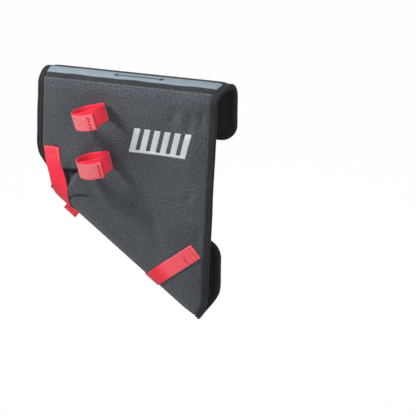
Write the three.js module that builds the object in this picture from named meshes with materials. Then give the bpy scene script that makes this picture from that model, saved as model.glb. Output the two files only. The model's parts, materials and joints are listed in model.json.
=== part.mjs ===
// Padded textile frame protector. One padded cloth hangs over a bicycle's top tube, covers the front
// part of the main triangle and folds round the down tube. Webbing straps hold it to the down tube, and
// two looped straps on its face hold a turned handlebar.
//
// Every piece is drawn on the flat cloth and then wrapped. A point of the flat cloth is (x, z), seen from
// the front, and a height above the lining's inner face. Above the top tube's axis the cloth bends back
// over the tube, and below the down tube's axis it bends back under the tube.
//
// Frame: millimetres, +Z up, +X to the rear of the bicycle, -Y to the side that the pad faces. The origin
// is on the crown of the top tube, at the middle of the pad.
import * as THREE from 'three';
import { mergeVertices } from 'three/addons/utils/BufferGeometryUtils.js';

// Driving dimensions: tubes that the pad fits
const TOP_TUBE_RADIUS = 19;
const DOWN_TUBE_RADIUS = 26;
const DOWN_TUBE_ANGLE = 37.1;

// Driving dimensions: outline of the cloth
const PANEL_TOP_WIDTH = 281;
const PANEL_LEFT_HEIGHT = 116.4;
const LEFT_EDGE_LEAN = 2.9;
const LEFT_CUT_HEIGHT = 100;
const LEFT_CUT_ALONG = 39;
const RIGHT_EDGE_LEAN = 2.4;
const SADDLE_FLARE = 13.5;
const UPPER_FLAP_LENGTH = 65.5;
const UPPER_FLAP_CORNER = 23;
const LOWER_FLAP_LENGTH = 60;
const LOWER_FLAP_CORNER = 12;
const FOLD_EASE = 18;

// Driving dimensions: thickness of each layer and the clearance that sewing leaves
const LINING_THICKNESS = 0.8;
const FOAM_THICKNESS = 5.3;
const COVER_THICKNESS = 0.8;
const LAYER_GAP = 0.3;
const FOAM_INSET = 3;
const FOAM_SEAM = 2;
const TAPE_THICKNESS = 0.8;
const TAPE_FACE = 7.5;
const TAPE_ROUNDING = 2.5;
const WEBBING_THICKNESS = 1.5;
const WEBBING_WIDTH = 25;
const HOOK_TAPE_THICKNESS = 0.9;
const PATCH_MARGIN = 1.5;
const PRINT_THICKNESS = 0.3;
const STRIP_THICKNESS = 0.6;

// Driving dimensions: seam between panel and saddle, and the pale strip on the saddle, as angles round
// the top tube, counted from the front
const SEAM_ANGLE = 27;
const SEAM_OPENING = 1.5;
const STRIP_LOW_ANGLE = 50;
const STRIP_HIGH_ANGLE = 86;
const STRIP_END_MARGIN = 5;

// Driving dimensions: printed bars on the panel, and the double arrow on the strip
const BARS_LEFT = 6.7;
const BARS_TOP = -66;
const BARS_COUNT = 6;
const BAR_PITCH = 16;
const BAR_WIDTH = 9.5;
const BAR_HEIGHT = 33;
const BAR_SLANT = 9;
const RULE_HEIGHT = 4;
const ARROW_CENTRE = 16.7;
const ARROW_LENGTH = 82;
const ARROW_SHAFT = 1.6;
const ARROW_HEAD_LENGTH = 8;
const ARROW_HEAD_WIDTH = 6;

// Driving dimensions: down tube straps. The sewn end is on the panel, seen from the front.
const RIGHT_STRAP_X = 112.1;
const RIGHT_STRAP_Z = -244.7;
const RIGHT_STRAP_SKEW = 14;
const RIGHT_STRAP_REAR = 44;
const LEFT_STRAP_X = -120.5;
const LEFT_STRAP_Z = -108;
const LEFT_STRAP_CROSSING = 46;
const LEFT_STRAP_UNDER = 74;
const LEFT_STRAP_UNDER_SHARE = 0.4;
const LEFT_STRAP_REAR_PLACE = 76.2;
const LEFT_STRAP_BOW = 2;
const LEFT_STRAP_SLACK = 0.8;
const LEFT_STRAP_REAR = 40;
const LEFT_STRAP_TAIL = 81;
const TAIL_BEND_RADIUS = 2.4;
const HOOK_LENGTH = 32;
const LOOP_PATCH_LENGTH = 40;

// Shares of the way round the down tube between which a strap rises over the hook tape behind it, and
// between which the left strap comes down off the edge tape
const STRAP_RISE_FROM = 0.5;
const STRAP_RISE_TO = 0.95;
const STRAP_LOWER_FROM = 0.25;
const STRAP_LOWER_TO = 0.6;

// Driving dimensions: looped straps for the handlebar, with angles round the loop in degrees
const BAR_LOOP_RADIUS = 24;
const BAR_LOOP_FLAT = 3;
const UPPER_LOOP_X = -43.8;
const UPPER_LOOP_Z = -48;
const UPPER_LOOP_TILT = 16;
const UPPER_LOOP_HEM = 41;
const LOWER_LOOP_X = -38.4;
const LOWER_LOOP_Z = -120;
const LOWER_LOOP_TILT = 13;
const LOWER_LOOP_HEM = 52;
const LOOP_UNDERLAP = 25;
const LOOP_RISE = 35;
const LOOP_LANDING = 2;
const HOOK_LEAD = 4;
const HOOK_TRAIL = 8;

// How finely curved stretches are divided
const ROLL_STEPS = 16;
const PANEL_STEPS = 5;
const CORNER_STEPS = 5;
const EASE_STEPS = 2;
const ACROSS_STEPS = 8;
const STRAP_STEP = 5.5;
const STRAP_ACROSS = 4;
const LOOP_ACROSS = 2;
const LOOP_STEP_ANGLE = 8;
const TAIL_BEND_STEPS = 8;
const CLOSEST = 0.01;
const SAME_POINT = 1e-4;

// Levels above the lining's inner face
const FOAM_LOW = LINING_THICKNESS + LAYER_GAP;
const FOAM_HIGH = FOAM_LOW + FOAM_THICKNESS;
const COVER_LOW = FOAM_HIGH + LAYER_GAP;
const PAD_THICKNESS = COVER_LOW + COVER_THICKNESS;
const TAPE_HIGH = PAD_THICKNESS + LAYER_GAP + TAPE_THICKNESS;

// Zones of the cloth, from the free end of the upper flap to the free end of the lower one. A station is
// a zone's number plus a share of its length.
const UPPER_FLAP = 0;
const SADDLE = 1;
const PANEL = 2;
const CRADLE = 3;
const LOWER_FLAP = 4;
const CLOTH_END = 5;

// Share of a flap's length where one edge tape ends and the next begins
const FLAP_JOIN = 0.5;

const radians = THREE.MathUtils.degToRad;
const halfTurn = 180;
const fullTurn = 360;
const quarter = Math.PI / 2;

// Directions on the flat cloth: along the down tube to the rear, and away from the panel under it
const downAngle = radians(DOWN_TUBE_ANGLE);
const alongDownTube = new THREE.Vector2(Math.cos(downAngle), -Math.sin(downAngle));
const underDownTube = new THREE.Vector2(-Math.sin(downAngle), -Math.cos(downAngle));

// Ends of the panel's two bending lines: the axis of the top tube and the axis of the down tube
const axisHeight = -TOP_TUBE_RADIUS;
const topLeft = new THREE.Vector2(-PANEL_TOP_WIDTH / 2, axisHeight);
const topRight = new THREE.Vector2(PANEL_TOP_WIDTH / 2, axisHeight);
const leftSlope = Math.tan(radians(LEFT_EDGE_LEAN));
const rightSlope = Math.tan(radians(RIGHT_EDGE_LEAN));
const downSlope = Math.tan(downAngle);

// Where the left edge would meet the down tube's axis if its corner weren't cut away
const fullCorner = new THREE.Vector2(
  topLeft.x - PANEL_LEFT_HEIGHT * leftSlope,
  axisHeight - PANEL_LEFT_HEIGHT,
);
const dropAtRight = PANEL_LEFT_HEIGHT + (topRight.x - fullCorner.x) * downSlope;
const rightHeight = dropAtRight / (1 + rightSlope * downSlope);
const lowRight = new THREE.Vector2(topRight.x - rightHeight * rightSlope, axisHeight - rightHeight);
const downTubeRun = lowRight.distanceTo(fullCorner);

const saddleRun = Math.PI * TOP_TUBE_RADIUS;
const cradleRun = Math.PI * DOWN_TUBE_RADIUS;

// Distance past the down tube's axis, and place along it counted from the full corner
const pastDownTube = (point) => point.clone().sub(fullCorner).dot(underDownTube);
const placeAlong = (point) => point.clone().sub(fullCorner).dot(alongDownTube);
const onDownTube = (along, past) => fullCorner.clone().addScaledVector(alongDownTube, along)
  .addScaledVector(underDownTube, past);

// The left edge runs down to a knee and then in to the down tube
const leftKnee = new THREE.Vector2(topLeft.x - LEFT_CUT_HEIGHT * leftSlope, axisHeight - LEFT_CUT_HEIGHT);
const lowLeft = onDownTube(LEFT_CUT_ALONG, 0);
const leftHeight = topLeft.distanceTo(leftKnee) + leftKnee.distanceTo(lowLeft);
const kneeShare = topLeft.distanceTo(leftKnee) / leftHeight;

// How far the lining's inner face stands in front of the tubes' plane at a point of the panel
function panelStandoff(point) {
  const fall = axisHeight - point.y;
  const depth = fullCorner.y - (point.x - fullCorner.x) * downSlope;
  const share = THREE.MathUtils.clamp(fall / (axisHeight - depth), 0, 1);
  return THREE.MathUtils.lerp(TOP_TUBE_RADIUS, DOWN_TUBE_RADIUS, share);
}

// A point of the flat cloth, at a height above the lining's inner face, wrapped round the tubes
function wrap(point, height) {
  const over = point.y - axisHeight;
  const past = pastDownTube(point);
  if (over > 0) {
    const radius = TOP_TUBE_RADIUS + height;
    const angle = over / TOP_TUBE_RADIUS;
    if (angle < Math.PI) {
      return new THREE.Vector3(point.x, -radius * Math.cos(angle), axisHeight + radius * Math.sin(angle));
    }
    return new THREE.Vector3(point.x, radius, axisHeight - (over - saddleRun));
  }
  if (past > 0) {
    const radius = DOWN_TUBE_RADIUS + height;
    const angle = past / DOWN_TUBE_RADIUS;
    const under = angle < Math.PI ? radius * Math.sin(angle) : cradleRun - past;
    const across = angle < Math.PI ? -radius * Math.cos(angle) : radius;
    const flat = onDownTube(placeAlong(point), under);
    return new THREE.Vector3(flat.x, across, flat.y);
  }
  return new THREE.Vector3(point.x, -(panelStandoff(point) + height), point.y);
}

// How far a row draws in at a rounded corner, at a distance from the flap's free end
function cornerDraw(distance, radius) {
  if (distance >= radius) return 0;
  const angle = Math.acos(1 - distance / radius);
  return radius * (1 - Math.sin(angle));
}

// Rounds a turn of an edge by drawing it in near the turn, and is zero beyond the ease
function turnDraw(distance, turn) {
  const share = Math.max(0, 1 - Math.abs(distance) / FOLD_EASE);
  return (turn * FOLD_EASE / 4) * share * share;
}

// Turns of the two side edges: at the knee, at the down tube's axis, and behind it where the flap's right
// end stands upright
const cutLean = Math.atan2(lowLeft.x - leftKnee.x, leftKnee.y - lowLeft.y);
const kneeTurn = cutLean + radians(LEFT_EDGE_LEAN);
const leftTurn = cutLean + downAngle;
const rightTurn = radians(DOWN_TUBE_ANGLE - RIGHT_EDGE_LEAN);
const rearTurn = downAngle;

// Left end of the panel's row, before any turn is rounded
function leftOfPanel(share) {
  if (share < kneeShare) return topLeft.clone().lerp(leftKnee, share / kneeShare);
  return leftKnee.clone().lerp(lowLeft, (share - kneeShare) / (1 - kneeShare));
}

// Ends of the cloth's row at a station, drawn in by an inset on every side
function row(station, inset) {
  const zone = Math.min(Math.floor(station), LOWER_FLAP);
  const share = station - zone;
  if (zone === UPPER_FLAP) {
    const length = UPPER_FLAP_LENGTH - inset;
    const draw = inset + cornerDraw(share * length, UPPER_FLAP_CORNER - inset);
    const z = axisHeight + saddleRun + length * (1 - share);
    return [new THREE.Vector2(topLeft.x + draw, z), new THREE.Vector2(topRight.x + SADDLE_FLARE - draw, z)];
  }
  if (zone === SADDLE) {
    const angle = Math.PI * (1 - share);
    const flare = SADDLE_FLARE * (1 - Math.cos(2 * Math.min(angle, quarter))) / 2;
    const z = axisHeight + saddleRun * (1 - share);
    return [new THREE.Vector2(topLeft.x + inset, z), new THREE.Vector2(topRight.x + flare - inset, z)];
  }
  if (zone === PANEL) {
    const left = leftOfPanel(share);
    const right = topRight.clone().lerp(lowRight, share);
    const inward = right.clone().sub(left).normalize();
    const kneeDraw = turnDraw(left.distanceTo(leftKnee), kneeTurn);
    const footDraw = turnDraw(left.distanceTo(lowLeft), leftTurn);
    left.addScaledVector(inward, inset + kneeDraw - footDraw);
    right.addScaledVector(inward, -inset - turnDraw((1 - share) * rightHeight, rightTurn));
    return [left, right];
  }
  if (zone === CRADLE) {
    const past = cradleRun * share;
    const left = LEFT_CUT_ALONG + inset - turnDraw(past, leftTurn);
    const right = downTubeRun - inset - turnDraw(past, rightTurn) - turnDraw(cradleRun - past, rearTurn);
    return [onDownTube(left, past), onDownTube(right, past)];
  }
  const length = LOWER_FLAP_LENGTH - inset;
  const risen = length * share;
  const draw = inset + cornerDraw(length - risen, LOWER_FLAP_CORNER - inset);
  const right = downTubeRun - risen * downSlope - turnDraw(risen, rearTurn) - draw;
  return [onDownTube(LEFT_CUT_ALONG + draw, cradleRun + risen), onDownTube(right, cradleRun + risen)];
}

// Stations where the cloth is divided, between two stations
function stations(first, last) {
  const list = [first];
  const add = (zone, share) => {
    const station = zone + share;
    if (station > first && station < last - CLOSEST) list.push(station);
  };
  for (let i = 1; i <= CORNER_STEPS; i += 1) {
    add(UPPER_FLAP, (1 - Math.cos(quarter * i / CORNER_STEPS)) * UPPER_FLAP_CORNER / UPPER_FLAP_LENGTH);
  }
  for (let i = 0; i < ROLL_STEPS; i += 1) add(SADDLE, i / ROLL_STEPS);
  for (let i = 0; i < PANEL_STEPS; i += 1) add(PANEL, i / PANEL_STEPS);
  for (let i = -EASE_STEPS; i <= EASE_STEPS; i += 1) {
    add(PANEL, kneeShare + FOLD_EASE / leftHeight * i / EASE_STEPS);
  }
  for (let i = EASE_STEPS; i > 0; i -= 1) {
    add(PANEL, 1 - FOLD_EASE / leftHeight * i / EASE_STEPS);
    add(PANEL, 1 - FOLD_EASE / rightHeight * i / EASE_STEPS);
  }
  for (let i = 0; i < ROLL_STEPS; i += 1) add(CRADLE, i / ROLL_STEPS);
  add(LOWER_FLAP, 0);
  for (let i = 1; i <= EASE_STEPS; i += 1) add(LOWER_FLAP, FOLD_EASE / LOWER_FLAP_LENGTH * i / EASE_STEPS);
  for (let i = CORNER_STEPS; i > 0; i -= 1) {
    add(LOWER_FLAP, 1 - (1 - Math.cos(quarter * i / CORNER_STEPS)) * LOWER_FLAP_CORNER / LOWER_FLAP_LENGTH);
  }
  list.sort((a, b) => a - b);
  return [...list.filter((station, i) => i === 0 || station - list[i - 1] > CLOSEST), last];
}

const even = (steps) => Array.from({ length: steps + 1 }, (unused, i) => i / steps);

// Merges a solid's shared corners and turns its faces outwards
function closed(geometry) {
  geometry.deleteAttribute('normal');
  geometry.deleteAttribute('uv');
  const merged = mergeVertices(geometry, SAME_POINT);
  const position = merged.attributes.position;
  const index = merged.index.array;
  const [a, b, c] = [new THREE.Vector3(), new THREE.Vector3(), new THREE.Vector3()];
  let volume = 0;
  for (let i = 0; i < index.length; i += 3) {
    a.fromBufferAttribute(position, index[i]);
    b.fromBufferAttribute(position, index[i + 1]);
    c.fromBufferAttribute(position, index[i + 2]);
    volume += a.dot(b.cross(c));
  }
  if (volume < 0) {
    for (let i = 0; i < index.length; i += 3) [index[i + 1], index[i + 2]] = [index[i + 2], index[i + 1]];
  }
  merged.computeVertexNormals();
  return merged;
}

// A unit box divided at the given shares along its three sides, each corner then moved by shape(a, b, c)
function formed(sharesA, sharesB, sharesC, shape) {
  const [countA, countB, countC] = [sharesA.length - 1, sharesB.length - 1, sharesC.length - 1];
  const geometry = new THREE.BoxGeometry(1, 1, 1, countA, countB, countC);
  const position = geometry.attributes.position;
  for (let i = 0; i < position.count; i += 1) {
    const a = sharesA[Math.round((position.getX(i) + 0.5) * countA)];
    const b = sharesB[Math.round((position.getY(i) + 0.5) * countB)];
    const c = sharesC[Math.round((position.getZ(i) + 0.5) * countC)];
    const moved = shape(a, b, c);
    position.setXYZ(i, moved.x, moved.y, moved.z);
  }
  return closed(geometry);
}

const group = new THREE.Group();

function add(name, geometry, colour, roughness) {
  const material = new THREE.MeshStandardMaterial({ color: colour, roughness, metalness: 0 });
  const mesh = new THREE.Mesh(geometry, material);
  mesh.name = name;
  group.add(mesh);
}

// A layer of the cloth between two stations and two heights
function layer(first, last, inset, low, high) {
  return formed(even(ACROSS_STEPS), stations(first, last), [low, high], (across, station, height) => {
    const [left, right] = row(station, inset);
    return wrap(left.lerp(right, across), height);
  });
}

const HEATHER = 0x42464b;
const BLACK_CLOTH = 0x1b1b1e;
const TAPE_BLACK = 0x24262a;
const FOAM_GREY = 0x6e7074;
const STRIP_GREY = 0x93a3ae;
const WEBBING_RED = 0xd8203a;
const WEBBING_PALE = 0xe25a66;
const HOOK_RED = 0xb3182c;
const PRINT_GREY = 0xb9bec3;

// Covers and lining
const stationAtAngle = (angle) => SADDLE + 1 - angle / halfTurn;
const seamHalf = SEAM_OPENING / 2 / saddleRun;
const saddleCoverEnd = stationAtAngle(SEAM_ANGLE) - seamHalf;
const frontCoverStart = stationAtAngle(SEAM_ANGLE) + seamHalf;
add('saddle_cover', layer(UPPER_FLAP, saddleCoverEnd, 0, COVER_LOW, PAD_THICKNESS), BLACK_CLOTH, 0.9);
add('front_cover', layer(frontCoverStart, CLOTH_END, 0, COVER_LOW, PAD_THICKNESS), HEATHER, 0.9);
add('lining', layer(UPPER_FLAP, CLOTH_END, 0, 0, LINING_THICKNESS), BLACK_CLOTH, 0.85);

// Foam sheets, one to each stretch of the cloth, with room for the stitched channel between them
const seamShare = (run) => FOAM_SEAM / 2 / run;
const foams = [
  ['upper_flap_foam', UPPER_FLAP, UPPER_FLAP_LENGTH],
  ['top_tube_foam', SADDLE, saddleRun],
  ['front_foam', PANEL, PANEL_LEFT_HEIGHT],
  ['down_tube_foam', CRADLE, cradleRun],
  ['lower_flap_foam', LOWER_FLAP, LOWER_FLAP_LENGTH],
];
for (const [name, zone, run] of foams) {
  const first = zone === UPPER_FLAP ? zone : zone + seamShare(run);
  const last = zone === LOWER_FLAP ? zone + 1 : zone + 1 - seamShare(run);
  add(name, layer(first, last, FOAM_INSET, FOAM_LOW, FOAM_HIGH), FOAM_GREY, 0.95);
}

// Outline of the cloth as flat points, in four runs that meet on the flaps' sides
const leftEnd = (station) => row(station, 0)[0];
const rightEnd = (station) => row(station, 0)[1];
const upperStations = stations(UPPER_FLAP, UPPER_FLAP + FLAP_JOIN);
const sideStations = stations(UPPER_FLAP + FLAP_JOIN, LOWER_FLAP + FLAP_JOIN);
const lowerStations = stations(LOWER_FLAP + FLAP_JOIN, CLOTH_END);
const backwards = (list) => [...list].reverse();
const edgeRuns = {
  right_edge_binding: sideStations.map(rightEnd),
  lower_flap_binding: [...lowerStations.map(rightEnd), ...backwards(lowerStations).map(leftEnd)],
  left_edge_binding: backwards(sideStations).map(leftEnd),
  upper_flap_binding: [...backwards(upperStations).map(leftEnd), ...upperStations.map(rightEnd)],
};

// Section of the folded edge tape: how far inside the edge, and the height above the lining
function tapeSection() {
  const outer = -LAYER_GAP - TAPE_THICKNESS;
  const low = -LAYER_GAP - TAPE_THICKNESS;
  const chamfer = TAPE_ROUNDING * (1 - Math.SQRT1_2);
  const shape = new THREE.Shape();
  shape.moveTo(TAPE_FACE, low);
  shape.lineTo(TAPE_FACE, -LAYER_GAP);
  shape.lineTo(-LAYER_GAP, -LAYER_GAP);
  shape.lineTo(-LAYER_GAP, PAD_THICKNESS + LAYER_GAP);
  shape.lineTo(TAPE_FACE, PAD_THICKNESS + LAYER_GAP);
  shape.lineTo(TAPE_FACE, TAPE_HIGH);
  shape.lineTo(outer + TAPE_ROUNDING, TAPE_HIGH);
  shape.lineTo(outer + chamfer, TAPE_HIGH - chamfer);
  shape.lineTo(outer, TAPE_HIGH - TAPE_ROUNDING);
  shape.lineTo(outer, low + TAPE_ROUNDING);
  shape.lineTo(outer + chamfer, low + chamfer);
  shape.lineTo(outer + TAPE_ROUNDING, low);
  shape.closePath();
  return shape;
}

// Edge tape along a run of outline points. The run's two ends stop short of the next tape.
function binding(points, before, after) {
  const steps = points.length - 1;
  const geometry = new THREE.ExtrudeGeometry(tapeSection(), { depth: 1, steps, bevelEnabled: false });
  const chain = [before, ...points, after];
  const inward = points.map((point, i) => {
    const ahead = chain[i + 2].clone().sub(point).normalize();
    const behind = point.clone().sub(chain[i]).normalize();
    const along = ahead.add(behind).normalize();
    const overTube = point.y > axisHeight && point.y < axisHeight + saddleRun;
    return overTube ? new THREE.Vector2(Math.sign(along.y), 0) : new THREE.Vector2(along.y, -along.x);
  });
  const trimmed = points.map((point) => point.clone());
  trimmed[0].lerp(points[1], LAYER_GAP / 2 / points[0].distanceTo(points[1]));
  trimmed[steps].lerp(points[steps - 1], LAYER_GAP / 2 / points[steps].distanceTo(points[steps - 1]));
  const position = geometry.attributes.position;
  for (let i = 0; i < position.count; i += 1) {
    const place = Math.round(position.getZ(i) * steps);
    const flat = trimmed[place].clone().addScaledVector(inward[place], position.getX(i));
    const moved = wrap(flat, position.getY(i));
    position.setXYZ(i, moved.x, moved.y, moved.z);
  }
  return closed(geometry);
}

const runNames = Object.keys(edgeRuns);
runNames.forEach((name, i) => {
  const previous = edgeRuns[runNames[(i + runNames.length - 1) % runNames.length]];
  const next = edgeRuns[runNames[(i + 1) % runNames.length]];
  add(name, binding(edgeRuns[name], previous[previous.length - 2], next[1]), TAPE_BLACK, 0.8);
});

// Pale strip on the saddle
const onClothLow = PAD_THICKNESS + LAYER_GAP;
const stripFirst = stationAtAngle(STRIP_HIGH_ANGLE);
const stripLast = stationAtAngle(STRIP_LOW_ANGLE);
const stripInset = TAPE_FACE + STRIP_END_MARGIN;
add(
  'saddle_strip',
  layer(stripFirst, stripLast, stripInset, onClothLow, onClothLow + STRIP_THICKNESS),
  STRIP_GREY,
  0.7,
);

// A flat drawing laid on the cloth: an extruded shape whose points are wrapped at a height
function laid(shape, low, thickness) {
  const geometry = new THREE.ExtrudeGeometry(shape, { depth: thickness, steps: 1, bevelEnabled: false });
  const position = geometry.attributes.position;
  for (let i = 0; i < position.count; i += 1) {
    const flat = new THREE.Vector2(position.getX(i), position.getY(i));
    const moved = wrap(flat, low + position.getZ(i));
    position.setXYZ(i, moved.x, moved.y, moved.z);
  }
  return closed(geometry);
}

// Slanted bars that stand on one rule
function barsShape() {
  const foot = BARS_TOP - BAR_HEIGHT;
  const span = BAR_PITCH * (BARS_COUNT - 1) + BAR_WIDTH;
  const shape = new THREE.Shape();
  shape.moveTo(BARS_LEFT, foot - RULE_HEIGHT);
  shape.lineTo(BARS_LEFT + span, foot - RULE_HEIGHT);
  for (let i = BARS_COUNT - 1; i >= 0; i -= 1) {
    const x = BARS_LEFT + BAR_PITCH * i;
    shape.lineTo(x + BAR_WIDTH, foot);
    shape.lineTo(x + BAR_WIDTH + BAR_SLANT, BARS_TOP);
    shape.lineTo(x + BAR_SLANT, BARS_TOP);
    shape.lineTo(x, foot);
  }
  shape.closePath();
  return shape;
}

// Double arrow along the strip
function arrowShape() {
  const middleAngle = (STRIP_LOW_ANGLE + STRIP_HIGH_ANGLE) / 2;
  const z = axisHeight + TOP_TUBE_RADIUS * radians(middleAngle);
  const scale = TOP_TUBE_RADIUS / (TOP_TUBE_RADIUS + PAD_THICKNESS);
  const shaft = ARROW_SHAFT / 2 * scale;
  const head = ARROW_HEAD_WIDTH / 2 * scale;
  const tip = ARROW_LENGTH / 2;
  const neck = tip - ARROW_HEAD_LENGTH;
  const shape = new THREE.Shape();
  shape.moveTo(ARROW_CENTRE - tip, z);
  shape.lineTo(ARROW_CENTRE - neck, z - head);
  shape.lineTo(ARROW_CENTRE - neck, z - shaft);
  shape.lineTo(ARROW_CENTRE + neck, z - shaft);
  shape.lineTo(ARROW_CENTRE + neck, z - head);
  shape.lineTo(ARROW_CENTRE + tip, z);
  shape.lineTo(ARROW_CENTRE + neck, z + head);
  shape.lineTo(ARROW_CENTRE + neck, z + shaft);
  shape.lineTo(ARROW_CENTRE - neck, z + shaft);
  shape.lineTo(ARROW_CENTRE - neck, z + head);
  shape.closePath();
  return shape;
}

add('panel_print', laid(barsShape(), onClothLow, PRINT_THICKNESS), PRINT_GREY, 0.6);
add(
  'strip_print',
  laid(arrowShape(), onClothLow + STRIP_THICKNESS + LAYER_GAP, PRINT_THICKNESS),
  BLACK_CLOTH,
  0.8,
);

// Levels of the strap on the rear flap: cloth, loop tape, hook tape, webbing
const hookLow = onClothLow + HOOK_TAPE_THICKNESS + LAYER_GAP;
const strapRearLow = hookLow + HOOK_TAPE_THICKNESS + LAYER_GAP;

// Height of a strap's inner face: low on the panel, risen over the hook tape behind the down tube
function strapLevel(past) {
  const share = THREE.MathUtils.smoothstep(past, cradleRun * STRAP_RISE_FROM, cradleRun * STRAP_RISE_TO);
  return THREE.MathUtils.lerp(onClothLow, strapRearLow, share);
}

// Places across a width, counted from its middle
const acrossWidth = (steps, width) => even(steps).map((share) => share * width - width / 2);

// Flat point at a share of a line's length and a distance to its left
function beside(line, share, across) {
  const centre = line.getPointAt(share);
  const along = line.getTangentAt(share);
  return new THREE.Vector2(centre.x - along.y * across, centre.y + along.x * across);
}

// A band on the cloth along a flat line, with a width, between two heights above a level
function band(line, length, width, low, high, level) {
  const steps = Math.ceil(length / STRAP_STEP);
  return formed(even(steps), acrossWidth(STRAP_ACROSS, width), [low, high], (share, across, height) => {
    const flat = beside(line, share, across);
    return wrap(flat, height + level(pastDownTube(flat)));
  });
}

const inSpace = (point) => new THREE.Vector3(point.x, point.y, 0);

// Right strap: sewn on the panel, straight across it, under the down tube and up the rear flap
const rightStart = new THREE.Vector2(RIGHT_STRAP_X, RIGHT_STRAP_Z);
const rightAway = underDownTube.clone().rotateAround(new THREE.Vector2(), -radians(RIGHT_STRAP_SKEW));
const rightReach = (past) => rightStart.clone()
  .addScaledVector(rightAway, (past - pastDownTube(rightStart)) / rightAway.dot(underDownTube));
const rightEndPoint = rightReach(cradleRun + RIGHT_STRAP_REAR);
const rightLine = new THREE.LineCurve3(inSpace(rightStart), inSpace(rightEndPoint));
add(
  'right_down_tube_strap',
  band(rightLine, rightLine.getLength(), WEBBING_WIDTH, 0, WEBBING_THICKNESS, strapLevel),
  WEBBING_RED,
  0.75,
);

// A patch on the rear flap under a strap: its flat line runs between two distances past the down tube
function patchLine(reach, firstRear, lastRear) {
  return new THREE.LineCurve3(inSpace(reach(cradleRun + firstRear)), inSpace(reach(cradleRun + lastRear)));
}

function addPatches(side, reach, rear) {
  const loopLine = patchLine(reach, rear - LOOP_PATCH_LENGTH, rear);
  const hookLine = patchLine(reach, rear - HOOK_LENGTH, rear - PATCH_MARGIN);
  const flush = () => 0;
  add(
    `${side}_loop_patch`,
    band(loopLine, LOOP_PATCH_LENGTH, WEBBING_WIDTH, onClothLow, onClothLow + HOOK_TAPE_THICKNESS, flush),
    BLACK_CLOTH,
    0.95,
  );
  const hookWidth = WEBBING_WIDTH - 2 * PATCH_MARGIN;
  add(
    `${side}_strap_hook`,
    band(hookLine, HOOK_LENGTH, hookWidth, hookLow, hookLow + HOOK_TAPE_THICKNESS, flush),
    HOOK_RED,
    0.9,
  );
}
addPatches('right', rightReach, RIGHT_STRAP_REAR);

// Left strap: down the panel, drawn round under the tube, up the rear flap, and its tail hangs over
const leftReach = (past) => onDownTube(LEFT_STRAP_REAR_PLACE, past);
const leftStart = new THREE.Vector2(LEFT_STRAP_X, LEFT_STRAP_Z);
const leftCrossing = onDownTube(LEFT_STRAP_CROSSING, 0);
const leftBow = leftStart.clone().add(leftCrossing).divideScalar(2);
leftBow.x -= LEFT_STRAP_BOW;
const leftPath = [
  leftStart,
  leftBow,
  leftCrossing,
  onDownTube(LEFT_STRAP_UNDER, cradleRun * LEFT_STRAP_UNDER_SHARE),
  leftReach(cradleRun),
  leftReach(cradleRun + LEFT_STRAP_REAR),
];
const leftLine = new THREE.CatmullRomCurve3(leftPath.map(inSpace), false, 'centripetal');
const leftLength = leftLine.getLength();
const bendLength = Math.PI * TAIL_BEND_RADIUS;
const tailLength = LEFT_STRAP_REAR + LEFT_STRAP_TAIL;

// The left strap passes over the edge tape on the panel, and hangs a little slack under the tube
function leftLevel(past) {
  const [from, to] = [cradleRun * STRAP_LOWER_FROM, cradleRun * STRAP_LOWER_TO];
  const lowered = THREE.MathUtils.smoothstep(past, from, to);
  const slack = LEFT_STRAP_SLACK * Math.sin(Math.PI * THREE.MathUtils.clamp(past / cradleRun, 0, 1));
  return strapLevel(past) + (TAPE_HIGH - PAD_THICKNESS) * (1 - lowered) + slack;
}

function leftStrap() {
  const bodySteps = Math.ceil(leftLength / STRAP_STEP);
  const distances = [
    ...even(bodySteps).map((share) => share * leftLength),
    ...even(TAIL_BEND_STEPS).slice(1).map((share) => leftLength + share * bendLength),
    leftLength + bendLength + tailLength,
  ];
  const acrossList = acrossWidth(STRAP_ACROSS, WEBBING_WIDTH);
  const middle = WEBBING_THICKNESS / 2;
  return formed(distances, acrossList, [-middle, middle], (distance, across, offset) => {
    const flat = beside(leftLine, Math.min(distance / leftLength, 1), across);
    const past = pastDownTube(flat);
    if (distance <= leftLength) return wrap(flat, leftLevel(past) + middle + offset);
    const angle = Math.min((distance - leftLength) / TAIL_BEND_RADIUS, Math.PI);
    const hung = Math.max(distance - leftLength - bendLength, 0);
    const rise = (TAIL_BEND_RADIUS - offset) * Math.sin(angle) - hung;
    const out = TAIL_BEND_RADIUS - (TAIL_BEND_RADIUS - offset) * Math.cos(angle);
    const bent = onDownTube(placeAlong(flat), cradleRun - past - rise);
    return new THREE.Vector3(bent.x, DOWN_TUBE_RADIUS + strapRearLow + middle + out, bent.y);
  });
}
add('left_down_tube_strap', leftStrap(), WEBBING_RED, 0.75);
addPatches('left', leftReach, LEFT_STRAP_REAR);

// Looped straps. Angles go round the loop from its front, through its right, to its sewn back.
const loopBetween = 2 * LAYER_GAP + HOOK_TAPE_THICKNESS;

function loopPoint(loop, angle, radius, height) {
  const turned = radians(angle);
  const backLimit = BAR_LOOP_RADIUS - BAR_LOOP_FLAT + (radius - BAR_LOOP_RADIUS);
  const x = radius * Math.sin(turned);
  const y = Math.min(-radius * Math.cos(turned), backLimit);
  const tilt = radians(loop.tilt);
  return new THREE.Vector3(
    loop.x + x * Math.cos(tilt) - height * Math.sin(tilt),
    loop.y + y,
    loop.z + x * Math.sin(tilt) + height * Math.cos(tilt),
  );
}

function loopSteps(first, last) {
  return even(Math.ceil((last - first) / LOOP_STEP_ANGLE)).map((share) => first + share * (last - first));
}

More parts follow.
